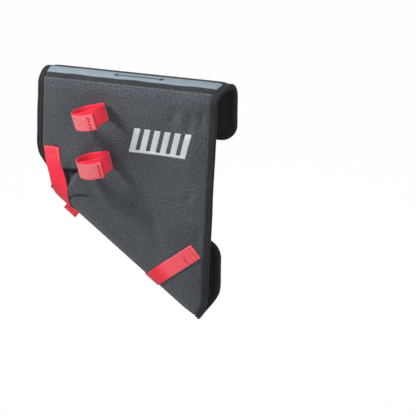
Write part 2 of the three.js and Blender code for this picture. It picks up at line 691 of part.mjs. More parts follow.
function addLoop(name, x, z, tilt, hem) {
  const reach = (WEBBING_WIDTH / 2) * Math.cos(radians(tilt)) + BAR_LOOP_RADIUS * Math.sin(radians(tilt));
  const face = panelStandoff(new THREE.Vector2(x, z - reach)) + PAD_THICKNESS;
  const back = BAR_LOOP_RADIUS + WEBBING_THICKNESS - BAR_LOOP_FLAT;
  const loop = { x, y: -(face + LAYER_GAP + back), z, tilt };
  const overlap = fullTurn - LOOP_UNDERLAP;
  const webbing = formed(
    loopSteps(-LOOP_UNDERLAP, fullTurn + hem),
    acrossWidth(LOOP_ACROSS, WEBBING_WIDTH),
    [0, WEBBING_THICKNESS],
    (angle, height, depth) => {
      const risen = THREE.MathUtils.smoothstep(angle, overlap - LOOP_RISE, overlap - LOOP_LANDING);
      const lift = risen * (WEBBING_THICKNESS + loopBetween);
      return loopPoint(loop, angle, BAR_LOOP_RADIUS + lift + depth, height);
    },
  );
  add(`${name}_strap`, webbing, WEBBING_PALE, 0.85);
  const hookInner = BAR_LOOP_RADIUS + WEBBING_THICKNESS + LAYER_GAP;
  const hook = formed(
    loopSteps(overlap + HOOK_LEAD, fullTurn + hem - HOOK_TRAIL),
    acrossWidth(LOOP_ACROSS, WEBBING_WIDTH - 2 * PATCH_MARGIN),
    [0, HOOK_TAPE_THICKNESS],
    (angle, height, depth) => loopPoint(loop, angle, hookInner + depth, height),
  );
  add(`${name}_hook`, hook, HOOK_RED, 0.9);
}
addLoop('upper_bar', UPPER_LOOP_X, UPPER_LOOP_Z, UPPER_LOOP_TILT, UPPER_LOOP_HEM);
addLoop('lower_bar', LOWER_LOOP_X, LOWER_LOOP_Z, LOWER_LOOP_TILT, LOWER_LOOP_HEM);

export default group;
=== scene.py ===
"""Looks of a padded cloth that guards a bicycle frame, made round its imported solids.

Sizes are in millimetres of the flat cloth and become metres when a mesh is made. A flat point is (x, z),
seen from the front, and its height counts from the lining's inner face.
"""

import json
import logging
import math
from collections.abc import Callable, Sequence
from dataclasses import dataclass
from enum import Enum
from functools import cached_property, partial

import bpy
import numpy as np
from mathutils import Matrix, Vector

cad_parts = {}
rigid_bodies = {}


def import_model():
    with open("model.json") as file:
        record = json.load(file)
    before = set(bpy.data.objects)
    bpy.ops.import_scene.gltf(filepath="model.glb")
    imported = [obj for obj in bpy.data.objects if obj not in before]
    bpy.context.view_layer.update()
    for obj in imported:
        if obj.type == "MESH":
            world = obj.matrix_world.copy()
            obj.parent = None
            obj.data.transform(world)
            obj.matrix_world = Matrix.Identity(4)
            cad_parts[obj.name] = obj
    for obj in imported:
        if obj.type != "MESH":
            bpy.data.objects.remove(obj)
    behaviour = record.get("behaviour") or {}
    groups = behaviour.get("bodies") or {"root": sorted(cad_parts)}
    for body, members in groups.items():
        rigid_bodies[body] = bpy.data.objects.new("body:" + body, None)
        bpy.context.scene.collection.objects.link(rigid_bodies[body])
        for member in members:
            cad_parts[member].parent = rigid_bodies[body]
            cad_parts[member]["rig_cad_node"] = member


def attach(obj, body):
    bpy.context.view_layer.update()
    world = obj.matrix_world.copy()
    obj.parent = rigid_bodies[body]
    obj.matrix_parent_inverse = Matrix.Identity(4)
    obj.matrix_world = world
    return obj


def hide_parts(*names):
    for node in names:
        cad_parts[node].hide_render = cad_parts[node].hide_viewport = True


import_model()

LOG = logging.getLogger("frame_pad")
MM = 0.001
BODY = "root"
FACE_POINTS = 11
STRAP_PITCH = 2.0
Array = np.ndarray
Object = bpy.types.Object
Material = bpy.types.Material
Pair = tuple[float, float]
Place = tuple[float, float, float]
Colour = Place
# A sewn path is its points in space and the outward direction at each. A surface finds both for flat points.
Sewn = tuple[Array, Array]
Surface = Callable[[Array], Sewn]


class Zone(Enum):
    """Stretches of the cloth, from the free end of the upper flap to the free end of the lower one."""

    UPPER_FLAP = 0
    SADDLE = 1
    PANEL = 2
    CRADLE = 3
    LOWER_FLAP = 4


def smooth(values: Array, low: float, high: float) -> Array:
    """Rises smoothly from 0 to 1.

    Args:
        values: Numbers to grade.
        low: Where the rise starts.
        high: Where it ends.

    Returns:
        The graded numbers.
    """
    share = np.clip((np.asarray(values, float) - low) / (high - low), 0.0, 1.0)
    return share * share * (3.0 - 2.0 * share)


def unit(vectors: Array) -> Array:
    """The same directions at length 1."""
    return vectors / np.linalg.norm(vectors, axis=-1, keepdims=True)


def travelled(points: Array) -> Array:
    """Distance of each point of a line from its start."""
    return np.concatenate([[0.0], np.cumsum(np.linalg.norm(np.diff(points, axis=0), axis=1))])


def woven(along: Array, across: Array | float) -> Array:
    """Places on a weave, from distances along the cloth and across it."""
    along, across = np.broadcast_arrays(along, across)
    return np.stack([along, across, np.zeros(along.shape)], -1)


def even_along(points: Array, pitch: float) -> Array:
    """Spreads points at an even pitch along a line.

    Args:
        points: Points of the line.
        pitch: Wanted distance between the new ones, which is rounded to fit.

    Returns:
        The new points, ends included.
    """
    gone = travelled(points)
    wanted = np.linspace(0.0, gone[-1], max(2, round(gone[-1] / pitch) + 1))
    return np.stack([np.interp(wanted, gone, points[:, i]) for i in range(points.shape[1])], -1)


def raised(place: Callable[[Array], Array], height: Array) -> Sewn:
    """Points at a height, and the directions in which more height moves them."""
    found = place(height)
    return found, unit(place(height + 1.0) - found)


def across_at(place: float, first: float, last: float) -> Array:
    """Line straight across a strap, as (distance, across) points."""
    return np.array([[place, first], [place, last]])


def strap_section(width: float, flat_margin: float, round_margin: float) -> Array:
    """Section of a strap with soft edges.

    Args:
        width: Strap's width.
        flat_margin: How far in from its edges the faces are flat.
        round_margin: How far in from its edges they start to round.

    Returns:
        Place across the strap and share of its thickness, for each corner.
    """
    half = width / 2
    inner = np.linspace(-half + flat_margin, half - flat_margin, FACE_POINTS)
    edge = [(half - round_margin, 0.93), (half, 0.5), (half - round_margin, 0.07)]
    return np.array([(float(a), 1.0) for a in inner] + edge + [(float(a), 0.0) for a in inner[::-1]]
                    + [(-a, 1.0 - share) for a, share in edge])


@dataclass(frozen=True)
class ClothMap:
    """The flat cloth and how it wraps round the two tubes, in millimetres."""

    top_radius: float = 19.0
    down_radius: float = 26.0
    down_angle: float = math.radians(37.1)
    top_width: float = 281.0
    left_height: float = 116.4
    left_lean: float = math.radians(2.9)
    cut_height: float = 100.0
    cut_along: float = 39.0
    right_lean: float = math.radians(2.4)
    saddle_flare: float = 13.5
    upper_length: float = 65.5
    upper_corner: float = 23.0
    lower_length: float = 60.0
    lower_corner: float = 12.0
    fold_ease: float = 18.0
    corner_steps: int = 10
    outline_pitch: float = 3.0

    @cached_property
    def axis_height(self) -> float:
        """Height of the top tube's axis."""
        return -self.top_radius

    @cached_property
    def along(self) -> Array:
        """Direction along the down tube, to the rear."""
        return np.array([math.cos(self.down_angle), -math.sin(self.down_angle)])

    @cached_property
    def under(self) -> Array:
        """Direction away from the panel, under the down tube."""
        return np.array([-math.sin(self.down_angle), -math.cos(self.down_angle)])

    @cached_property
    def top_left(self) -> Array:
        """Left end of the top tube's bending line."""
        return np.array([-self.top_width / 2, self.axis_height])

    @cached_property
    def top_right(self) -> Array:
        """Right end of the top tube's bending line."""
        return np.array([self.top_width / 2, self.axis_height])

    @cached_property
    def full_corner(self) -> Array:
        """Where the left edge would meet the down tube's axis."""
        run = self.left_height * math.tan(self.left_lean)
        return np.array([-self.top_width / 2 - run, self.axis_height - self.left_height])

    @cached_property
    def right_height(self) -> float:
        """Height of the panel at its right edge.

        Returns:
            The height, in millimetres.
        """
        fall = math.tan(self.down_angle)
        drop = self.left_height + (self.top_right[0] - self.full_corner[0]) * fall
        return drop / (1 + math.tan(self.right_lean) * fall)

    @cached_property
    def low_right(self) -> Array:
        """Right end of the down tube's bending line."""
        run = self.right_height * math.tan(self.right_lean)
        return np.array([self.top_right[0] - run, self.axis_height - self.right_height])

    @cached_property
    def tube_run(self) -> float:
        """Length of the down tube's bending line from the full corner."""
        return float(np.linalg.norm(self.low_right - self.full_corner))

    @cached_property
    def saddle_run(self) -> float:
        """Flat length of the half turn over the top tube."""
        return math.pi * self.top_radius

    @cached_property
    def cradle_run(self) -> float:
        """Flat length of the half turn under the down tube."""
        return math.pi * self.down_radius

    @cached_property
    def knee(self) -> Array:
        """Where the left edge turns in."""
        run = self.cut_height * math.tan(self.left_lean)
        return np.array([self.top_left[0] - run, self.axis_height - self.cut_height])

    @cached_property
    def low_left(self) -> Array:
        """Left end of the down tube's bending line."""
        return self.on_tube(self.cut_along, 0.0)

    @cached_property
    def knee_share(self) -> float:
        """Share of the left edge above its knee."""
        above = float(np.linalg.norm(self.knee - self.top_left))
        return above / (above + float(np.linalg.norm(self.low_left - self.knee)))

    def on_tube(self, along: float, past: float) -> Array:
        """Flat point at a place along the down tube and a distance past its axis."""
        return self.full_corner + along * self.along + past * self.under

    def past(self, flat: Array) -> Array:
        """Distance of flat points past the down tube's axis."""
        return (flat - self.full_corner) @ self.under

    def place(self, flat: Array) -> Array:
        """Place of flat points along the down tube."""
        return (flat - self.full_corner) @ self.along

    def standoff(self, flat: Array) -> Array:
        """How far the lining stands in front of the tubes' plane, over the panel.

        Args:
            flat: Flat points.

        Returns:
            Distances from the tubes' plane to the lining's inner face.
        """
        depth = self.full_corner[1] - (flat[..., 0] - self.full_corner[0]) * math.tan(self.down_angle)
        share = np.clip((self.axis_height - flat[..., 1]) / (self.axis_height - depth), 0.0, 1.0)
        return self.top_radius + (self.down_radius - self.top_radius) * share

    def wrap(self, flat: Array, height: Array | float) -> Array:
        """Wraps flat points round the tubes.

        Args:
            flat: Flat points, with x and z last.
            height: Their heights above the lining's inner face.

        Returns:
            Points in space, in millimetres.
        """
        flat = np.asarray(flat, float)
        height = np.broadcast_to(np.asarray(height, float), flat.shape[:-1])
        over = flat[..., 1] - self.axis_height
        past = self.past(flat)
        panel = np.stack([flat[..., 0], -(self.standoff(flat) + height), flat[..., 1]], -1)

        turn = over / self.top_radius
        radius = self.top_radius + height
        rounded = turn < math.pi
        across = np.where(rounded, -radius * np.cos(turn), radius)
        risen = np.where(rounded, radius * np.sin(turn), self.saddle_run - over)
        saddle = np.stack([flat[..., 0], across, self.axis_height + risen], -1)

        turn = past / self.down_radius
        radius = self.down_radius + height
        rounded = turn < math.pi
        across = np.where(rounded, -radius * np.cos(turn), radius)
        fallen = np.where(rounded, radius * np.sin(turn), self.cradle_run - past)
        drawn = self.full_corner + self.place(flat)[..., None] * self.along + fallen[..., None] * self.under
        cradle = np.stack([drawn[..., 0], across, drawn[..., 1]], -1)

        points = np.where((past > 0)[..., None], cradle, panel)
        return np.where((over > 0)[..., None], saddle, points)

    def turn_draw(self, distance: float, turn: float) -> float:
        """How far an edge draws in near a turn, which rounds it."""
        share = max(0.0, 1.0 - abs(distance) / self.fold_ease)
        return turn * self.fold_ease / 4 * share * share

    @staticmethod
    def corner_draw(distance: float, radius: float) -> float:
        """How far a row draws in at a rounded corner, which is none past the corner."""
        return radius * (1 - math.sin(math.acos(1 - min(distance / radius, 1.0))))

    def row(self, station: float, inset: float = 0.0) -> tuple[Array, Array]:
        """Ends of the cloth's row at a station.

        Args:
            station: Zone's number plus a share of its length.
            inset: How far every side is drawn in.

        Returns:
            The left and the right flat point.
        """
        zone = Zone(min(int(station), Zone.LOWER_FLAP.value))
        share = station - zone.value
        cut_lean = math.atan2(self.low_left[0] - self.knee[0], self.knee[1] - self.low_left[1])
        left_turn = cut_lean + self.down_angle
        right_turn = self.down_angle - self.right_lean
        if zone is Zone.UPPER_FLAP:
            length = self.upper_length - inset
            draw = inset + self.corner_draw(share * length, self.upper_corner - inset)
            z = self.axis_height + self.saddle_run + length * (1 - share)
            right = self.top_right[0] + self.saddle_flare - draw
            return np.array([self.top_left[0] + draw, z]), np.array([right, z])
        if zone is Zone.SADDLE:
            angle = min(math.pi * (1 - share), math.pi / 2)
            flare = self.saddle_flare * (1 - math.cos(2 * angle)) / 2
            z = self.axis_height + self.saddle_run * (1 - share)
            right = self.top_right[0] + flare - inset
            return np.array([self.top_left[0] + inset, z]), np.array([right, z])
        if zone is Zone.PANEL:
            if share < self.knee_share:
                left = self.top_left + (self.knee - self.top_left) * share / self.knee_share
            else:
                rest = (share - self.knee_share) / (1 - self.knee_share)
                left = self.knee + (self.low_left - self.knee) * rest
            right = self.top_right + (self.low_right - self.top_right) * share
            inward = (right - left) / np.linalg.norm(right - left)
            knee_draw = self.turn_draw(float(np.linalg.norm(left - self.knee)), cut_lean + self.left_lean)
            foot_draw = self.turn_draw(float(np.linalg.norm(left - self.low_left)), left_turn)
            right_draw = self.turn_draw((1 - share) * self.right_height, right_turn)
            return left + inward * (inset + knee_draw - foot_draw), right - inward * (inset + right_draw)
        if zone is Zone.CRADLE:
            past = self.cradle_run * share
            left_place = self.cut_along + inset - self.turn_draw(past, left_turn)
            right_place = self.tube_run - inset - self.turn_draw(past, right_turn)
            right_place -= self.turn_draw(self.cradle_run - past, self.down_angle)
            return self.on_tube(left_place, past), self.on_tube(right_place, past)
        length = self.lower_length - inset
        risen = length * share
        draw = inset + self.corner_draw(length - risen, self.lower_corner - inset)
        right_place = self.tube_run - risen * math.tan(self.down_angle) - draw
        right_place -= self.turn_draw(risen, self.down_angle)
        past = self.cradle_run + risen
        return self.on_tube(self.cut_along + draw, past), self.on_tube(right_place, past)

    def stations(self, first: float, last: float, pitch: float) -> list[float]:
        """Stations at an even pitch, closer together at the rounded corners.

        Args:
            first: First station.
            last: Last station.
            pitch: Distance between rows.

        Returns:
            The stations, ends included.
        """
        lengths = (self.upper_length, self.saddle_run, self.right_height, self.cradle_run, self.lower_length)
        found: list[float] = []
        for zone, length in enumerate(lengths):
            steps = math.ceil(length / pitch)
            found += [zone + step / steps for step in range(steps)]
        for step in range(self.corner_steps + 1):
            rise = 1 - math.cos(math.pi / 2 * step / self.corner_steps)
            found.append(rise * self.upper_corner / self.upper_length)
            found.append(5 - rise * self.lower_corner / self.lower_length)
        inside = sorted(s for s in found if first + 0.002 < s < last - 0.002)
        return [first, *inside, last]

    def grid(self, first: float, last: float, pitch: float, inset: float = 0.0) -> Array:
        """Flat points of the cloth between two stations, as rows from left to right.

        Args:
            first: First station.
            last: Last station.
            pitch: Distance between points.
            inset: How far every side is drawn in.

        Returns:
            The rows.
        """
        stations = self.stations(first, last, pitch)
        shares = np.linspace(0.0, 1.0, math.ceil(self.top_width / pitch) + 1)[:, None]
        rows = []
        for station in stations:
            left, right = self.row(station, inset)
            rows.append(left + (right - left) * shares)
        return np.array(rows)

    def side(self, first: float, last: float, end: int, pitch: float) -> Array:
        """Flat points of one side edge, where end is 0 for the left side and 1 for the right."""
        return np.array([self.row(station)[end] for station in self.stations(first, last, pitch)])

    @cached_property
    def outline(self) -> Array:
        """Flat points round the whole cloth."""
        right, left = (self.side(0, 5, end, self.outline_pitch) for end in (1, 0))
        return np.concatenate([right, left[::-1]])

    @cached_property
    def flat_size(self) -> tuple[float, float, float]:
        """Width, length and area of the flat cloth, in metres.

        Returns:
            The three sizes.
        """
        x, z = self.outline[:, 0] * MM, self.outline[:, 1] * MM
        area = abs(float(np.sum(x * np.roll(z, -1) - z * np.roll(x, -1)))) / 2
        return float(np.ptp(x)), float(np.ptp(z)), area


@dataclass(frozen=True)
class Crease:
    """A fold in the cloth, from one flat point to another. A negative depth makes a ridge."""

    start: Pair
    end: Pair
    depth: float
    width: float
    taper: float = 0.35

    def height(self, flat: Array) -> Array:
        """Change of the cloth's height at flat points.

        Args:
            flat: Flat points.

        Returns:
            The change at each, in millimetres.
        """
        start, end = np.array(self.start), np.array(self.end)
        run = end - start
        share = np.clip(((flat - start) @ run) / float(run @ run), 0.0, 1.0)
        away = np.linalg.norm(flat - (start + share[..., None] * run), axis=-1)
        ends = smooth(share, 0.0, self.taper) * smooth(1.0 - share, 0.0, self.taper)
        return -self.depth * ends * np.exp(-((away / self.width) ** 2))


@dataclass(frozen=True)
class Swell:
    """A soft hill or dip of the cloth round a flat point."""

    centre: Pair
    radii: Pair
    rise: float
    turn: float = 0.0

    def height(self, flat: Array) -> Array:
        """Change of the cloth's height at flat points.

        Args:
            flat: Flat points.

        Returns:
            The change at each, in millimetres.
        """
        moved = flat - np.array(self.centre)
        cos, sin = math.cos(math.radians(self.turn)), math.sin(math.radians(self.turn))
        u = (moved[..., 0] * cos + moved[..., 1] * sin) / self.radii[0]
        v = (moved[..., 1] * cos - moved[..., 0] * sin) / self.radii[1]
        return self.rise * np.exp(-(u * u + v * v))


@dataclass(frozen=True)
class Ledge:
    """A fold that overhangs a valley. Its high side is to the left of its line."""

    line: tuple[Pair, ...]
    rise: float
    depth: float
    crest: float
    wall: float
    slope: float
    taper: float = 6.0

    def height(self, flat: Array) -> Array:
        """Change of the cloth's height at flat points.

        Args:
            flat: Flat points.

        Returns:
            The change at each, in millimetres.
        """
        knots = np.array(self.line)
        near = np.full(flat.shape[:-1], 1e9)
        signed = np.zeros(flat.shape[:-1])
        gone = np.zeros(flat.shape[:-1])
        start = 0.0
        for first, second in zip(knots[:-1], knots[1:]):
            run = second - first
            length = float(np.linalg.norm(run))
            run = run / length
            moved = flat - first
            place = np.clip(moved @ run, 0.0, length)
            away = np.linalg.norm(moved - place[..., None] * run, axis=-1)
            side = np.sign(run[0] * moved[..., 1] - run[1] * moved[..., 0])
            closer = away < near
            near = np.where(closer, away, near)
            signed = np.where(closer, away * side, signed)
            gone = np.where(closer, start + place, gone)
            start += length
        high = self.rise * np.exp(-((np.maximum(signed, 0.0) / self.crest) ** 2))
        low = -self.depth * np.exp(-((np.maximum(-signed - self.wall, 0.0) / self.slope) ** 2))
        profile = low + (high - low) * smooth(signed, -self.wall, 0.0)
        ends = smooth(gone, 0.0, self.taper) * smooth(start - gone, 0.0, self.taper)
        return profile * ends


@dataclass(frozen=True)
class Relief:
    """How the cloth waves, swells between its sewn edges and folds."""

    cloth: ClothMap
    thickness: float = 7.5
    lift: float = 1.3
    puff: float = 1.4
    press: float = 1.5
    tape_face: float = 7.5
    seam_angle: float = math.radians(34.0)
    crown_drop: float = 2.6
    thinnest: float = 2.2
    pocket_height: float = 0.1
    puff_reach: float = 32.0
    lap_rise: float = 0.45
    lap_fall: float = 0.25
    seam_sink: float = 0.45
    seam_below: float = 3.0
    tube_sink: float = 0.3
    tube_reach: float = 2.2
    folds_past: float = 34.0
    wave_seed: int = 11
    wave_count: int = 16
    wave_size: float = 2.8
    loops: tuple[Pair, ...] = ((-43.8, -48.0), (-38.4, -120.0))
    loop_reach: Pair = (20.0, 18.0)
    strap_side: Pair = (-107.8, -108.0)
    strap_lean: float = 0.196
    creases: tuple[Crease, ...] = (
        Crease((104, -28), (97, -74), 3.4, 7.0),
        Crease((121, -26), (116, -66), 2.6, 5.0),
        Crease((84, -26), (70, -60), 3.2, 6.5),
        Crease((74, -122), (120, -150), 3.2, 8.0),
        Crease((60, -160), (118, -198), 3.0, 9.0),
        Crease((106, -150), (92, -180), 2.4, 6.0),
        Crease((34, -180), (58, -262), 3.0, 10.0),
        Crease((-14, -130), (30, -205), 2.4, 12.0),
        Crease((-66, -160), (-34, -200), 1.8, 8.0),
        Crease((122, -205), (112, -240), 2.2, 6.0),
    )
    swells: tuple[Swell, ...] = (
        Swell((-93, -124), (24, 13), 1.6),
        Swell((-95, -154), (9, 14), -4.8, -18),
        Swell((-79, -163), (9, 9), 2.2),
        Swell((40, -44), (26, 20), 2.0),
        Swell((108, -98), (18, 34), 2.4),
        Swell((86, -212), (20, 24), 3.0),
        Swell((10, -150), (30, 40), 1.4),
        Swell((30, -225), (24, 22), 2.2),
        Swell((-60, -85), (50, 34), 1.0),
    )
    ledges: tuple[Ledge, ...] = (
        Ledge(((-118, -133), (-100, -140.5), (-90, -142), (-78, -138), (-64, -130)),
              rise=3.4, depth=3.4, crest=10.0, wall=3.0, slope=9.0, taper=10.0),
        Ledge(((-76, -144), (-85, -152), (-97, -177)),
              rise=2.4, depth=3.0, crest=9.0, wall=2.6, slope=8.0, taper=5.0),
        Ledge(((-102, -184), (-90, -183), (-74, -178.5), (-58, -180)),
              rise=1.5, depth=2.2, crest=8.0, wall=2.0, slope=3.5, taper=8.0),
    )

    @cached_property
    def wave_table(self) -> Array:
        """Seeded waves, most of them upright, each with a direction, a length, a phase and a size.

        Returns:
            One row for each wave.
        """
        dice = np.random.default_rng(self.wave_seed)
        turns = dice.normal(0.25, 0.5, self.wave_count)
        lengths = dice.uniform(36, 120, self.wave_count)
        phases = dice.uniform(0, 2 * math.pi, self.wave_count)
        sizes = lengths / lengths.sum() * self.wave_size
        return np.stack([np.cos(turns) / lengths, np.sin(turns) / lengths, phases, sizes], -1)

    def body(self, flat: Array) -> Array:
        """Waves of the whole pad, none where a tube or a looped strap holds it.

        Args:
            flat: Flat points.

        Returns:
            The change at each, in millimetres.
        """
        total = np.zeros(flat.shape[:-1])
        for across, along, phase, size in self.wave_table:
            total += size * np.sin(2 * math.pi * (flat[..., 0] * across + flat[..., 1] * along) + phase)
        over = flat[..., 1] - self.cloth.axis_height
        past = self.cloth.past(flat)
        free = smooth(-over, 0, 22) * smooth(-past, 0, 22)
        free = free + smooth(over - self.cloth.saddle_run, 0, 18) + smooth(past - self.cloth.cradle_run, 0, 18)
        return self.lift * total * free * (1.0 - self.held(flat))

    def held(self, flat: Array) -> Array:
        """1 where a looped strap is sewn on, and 0 away from it.

        Args:
            flat: Flat points.

        Returns:
            Shares from 0 to 1.
        """
        share = np.zeros(flat.shape[:-1])
        for x, z in self.loops:
            away = np.hypot((flat[..., 0] - x) / self.loop_reach[0], (flat[..., 1] - z) / self.loop_reach[1])
            share = np.maximum(share, 1.0 - smooth(away, 0.9, 1.9))
        return share

    def edge_distance(self, flat: Array) -> Array:
        """Distance of flat points from the cloth's outline.

        Args:
            flat: Flat points.

        Returns:
            The distances.
        """
        points = flat.reshape(-1, 2)
        start = self.cloth.outline
        run = np.roll(start, -1, axis=0) - start
        size = np.maximum((run * run).sum(-1), 1e-9)
        best = np.full(len(points), 1e9)
        for origin, step, square in zip(start, run, size):
            moved = points - origin
            share = np.clip((moved @ step) / square, 0.0, 1.0)
            best = np.minimum(best, ((moved - share[:, None] * step) ** 2).sum(-1))
        return np.sqrt(best).reshape(flat.shape[:-1])

    def drop(self, flat: Array, inside: Array) -> Array:
        """How far the saddle's ends come down to the tube, for points a distance inside the edge.

        Args:
            flat: Flat points.
            inside: Their distances inside the edge.

        Returns:
            The drops.
        """
        over = flat[..., 1] - self.cloth.axis_height
        crown = smooth(over, 2, 20) * (1.0 - smooth(over, self.cloth.saddle_run - 20, self.cloth.saddle_run))
        return self.crown_drop * crown * (1.0 - smooth(inside, 2.0, 17.0))

    def folds(self, flat: Array) -> Array:
        """Creases, swells and overhanging folds of the panel, none under the left strap.

        Args:
            flat: Flat points.

        Returns:
            The change at each, in millimetres.
        """
        total = sum(item.height(flat) for item in (*self.creases, *self.swells, *self.ledges))
        x, z = self.strap_side
        strap = flat[..., 0] - x + (flat[..., 1] - z) * self.strap_lean
        return np.where(total > 0, total * smooth(strap, -7.0, 3.0), total * smooth(strap, -16.0, -7.0))

    def cover(self, flat: Array) -> Array:
        """Height of the outer cloth at flat points.

        Args:
            flat: Flat points.

        Returns:
            Heights above the lining's inner face.
        """
        edge = self.edge_distance(flat)
        over = flat[..., 1] - self.cloth.axis_height
        seam = over - self.cloth.top_radius * self.seam_angle
        tube = np.abs(self.cloth.past(flat))
        crown = smooth(over, 2, 14) * (1.0 - smooth(over, self.cloth.saddle_run, self.cloth.saddle_run + 20))
        held = self.held(flat)
        rise = self.puff * smooth(edge, self.tape_face, self.puff_reach) * smooth(np.abs(seam), 0.0, 14.0)
        rise = rise * (1 - 0.9 * crown)
        bite = -self.press * (1.0 - smooth(edge, self.tape_face - 0.4, self.tape_face + 3.4))
        lap = np.where(seam < 0, self.lap_rise * (1 - smooth(-seam, 5.5, 8.5)),
                       -self.lap_fall * (1 - smooth(seam, 0.0, 2.5)))
        sewn = lap - self.seam_sink * np.exp(-((seam + self.seam_below) ** 2))
        sewn = sewn - self.tube_sink * np.exp(-((tube / self.tube_reach) ** 2))
        front = (over < 0) & (self.cloth.past(flat) < self.folds_past)
        folds = np.where(front, self.folds(flat) * smooth(edge, self.tape_face, 20.0), 0.0)
        height = self.thickness + (rise + folds) * (1.0 - held) + self.body(flat) + bite + sewn
        height = height - self.drop(flat, edge)
        return np.maximum(height, self.thinnest + self.body(flat))

    def pocket(self, flat: Array) -> Array:
        """Height of the lining at flat points."""
        return self.pocket_height + self.body(flat)


class Maker:
    """Turns arrays of points into Blender meshes."""

    @staticmethod
    def mesh(name: str, points: Array, faces: list[tuple[int, ...]], laid: Array) -> Object:
        """Makes a smooth mesh object.

        Args:
            name: Object's name.
            points: Corners, in millimetres.
            faces: Corner numbers of each face.
            laid: Place of each corner on its cloth, in millimetres, which its weave follows.

        Returns:
            The new object.
        """
        data = bpy.data.meshes.new(name)
        data.from_pydata((points * MM).tolist(), [], faces)
        weave = data.attributes.new("laid", "FLOAT_VECTOR", "POINT")
        weave.data.foreach_set("vector", (laid * MM).astype(np.float32).ravel())
        data.polygons.foreach_set("use_smooth", [True] * len(data.polygons))
        data.update()
        made = bpy.data.objects.new(name, data)
        bpy.context.scene.collection.objects.link(made)
        return made

    @classmethod
    def slab(cls, name: str, top: Array, low: Array, laid: Array) -> Object:
        """Makes a closed slab between two grids of points.

        Args:
            name: Object's name.
            top: Grid of upper points.
            low: Grid of lower points.
            laid: Their places on the weave.

        Returns:
            The new object.
        """
        rows, columns = top.shape[:2]
        count = rows * columns
        number = np.arange(count).reshape(rows, columns)
        a, b = number[:-1, :-1], number[:-1, 1:]
        c, d = number[1:, 1:], number[1:, :-1]
        upper = np.stack([a, d, c, b], -1).reshape(-1, 4)
        lower = np.stack([a, b, c, d], -1).reshape(-1, 4) + count
        ring = [*number[0, :-1], *number[:-1, -1], *number[-1, :0:-1], *number[:0:-1, 0]]
        sides = [(i, j, j + count, i + count) for i, j in zip(ring, ring[1:] + ring[:1])]
        faces = [tuple(face) for face in np.concatenate([upper, lower]).tolist()]
        faces += [tuple(map(int, side)) for side in sides]
        points = np.concatenate([top.reshape(-1, 3), low.reshape(-1, 3)])
        both = np.concatenate([laid.reshape(-1, 3), laid.reshape(-1, 3)])
        made = cls.mesh(name, points, faces, both)
        flat = np.arange(len(faces)) < len(upper) + len(lower)
        made.data.polygons.foreach_set("use_smooth", flat)
        return made

    @staticmethod
    def ring_faces(count: int, size: int, first: int = 0) -> list[tuple[int, ...]]:
        """Lists the faces of a closed solid through a row of rings.

        Args:
            count: Number of rings.
            size: Corners of each ring.
            first: Number of the first corner.

        Returns:
            The sides and the two ends.
        """
        number = np.arange(count * size).reshape(count, size) + first
        around = np.roll(number, -1, axis=1)
        sides = np.stack([number[:-1], around[:-1], around[1:], number[1:]], -1).reshape(-1, 4)
        return [tuple(corners) for corners in [*sides.tolist(), number[0, ::-1].tolist(), number[-1].tolist()]]

    @classmethod
    def tube(cls, name: str, rings: Array, laid: Array) -> Object:
        """Makes a closed solid through a row of rings."""
        count, size = rings.shape[:2]
        return cls.mesh(name, rings.reshape(-1, 3), cls.ring_faces(count, size), laid.reshape(-1, 3))

    @classmethod
    def threads(cls, name: str, stitches: Sequence[Sewn], radius: float) -> Object:
        """Makes sewing stitches.

        Args:
            name: Object's name.
            stitches: For each stitch, the points that it follows and the cloth's outward direction there.
            radius: Thread's radius.

        Returns:
            One object with a small closed body for each stitch.
        """
        sides = 6
        angles = np.arange(sides) * 2 * math.pi / sides
        cos, sin = np.cos(angles)[None, :, None], np.sin(angles)[None, :, None]
        points, faces, laid = [], [], []
        for path, outward in stitches:
            beside = np.cross(unit(np.gradient(path, axis=0)), outward)
            beside /= np.maximum(np.linalg.norm(beside, axis=1, keepdims=True), 1e-9)
            size = radius * np.array([0.45, *[1.0] * (len(path) - 2), 0.45])[:, None, None]
            rings = path[:, None] + (beside[:, None] * cos + outward[:, None] * sin) * size
            faces += cls.ring_faces(len(rings), sides, sum(map(len, points)))
            points.append(rings.reshape(-1, 3))
            laid.append(np.repeat(np.linspace(0, 3, len(rings)), sides))
        return cls.mesh(name, np.concatenate(points), faces, woven(np.concatenate(laid), 0.0))


@dataclass(frozen=True)
class Stitch:
    """One kind of stitch: pitch, length, height of its middle, and slant as a share of its length."""

    pitch: float
    length: float
    proud: float
    slant: float = 0.0
    shares: tuple[float, ...] = (0.0, 0.22, 0.5, 0.78, 1.0)
    rises: tuple[float, ...] = (-0.9, 0.55, 1.0, 0.55, -0.9)

    def sew(self, line: Array, surface: Surface) -> list[Sewn]:
        """Lays stitches along a line on a cloth.

        Args:
            line: Points of the line, on the cloth's own flat coordinates.
            surface: Gives points in space and outward directions for flat points.

        Returns:
            Paths and outward directions, for Maker.threads.
        """
        starts = even_along(line, self.pitch)
        places = (np.array(self.shares) * self.length)[:, None]
        rise = (self.proud * np.array(self.rises))[:, None]
        made = []
        for here, there in zip(starts[:-1], starts[1:]):
            run = (there - here) / max(float(np.linalg.norm(there - here)), 1e-9)
            turned = run + self.slant * np.array([-run[1], run[0]])
            points, outward = surface(here + turned * places)
            made.append((points + outward * rise, outward))
        return made


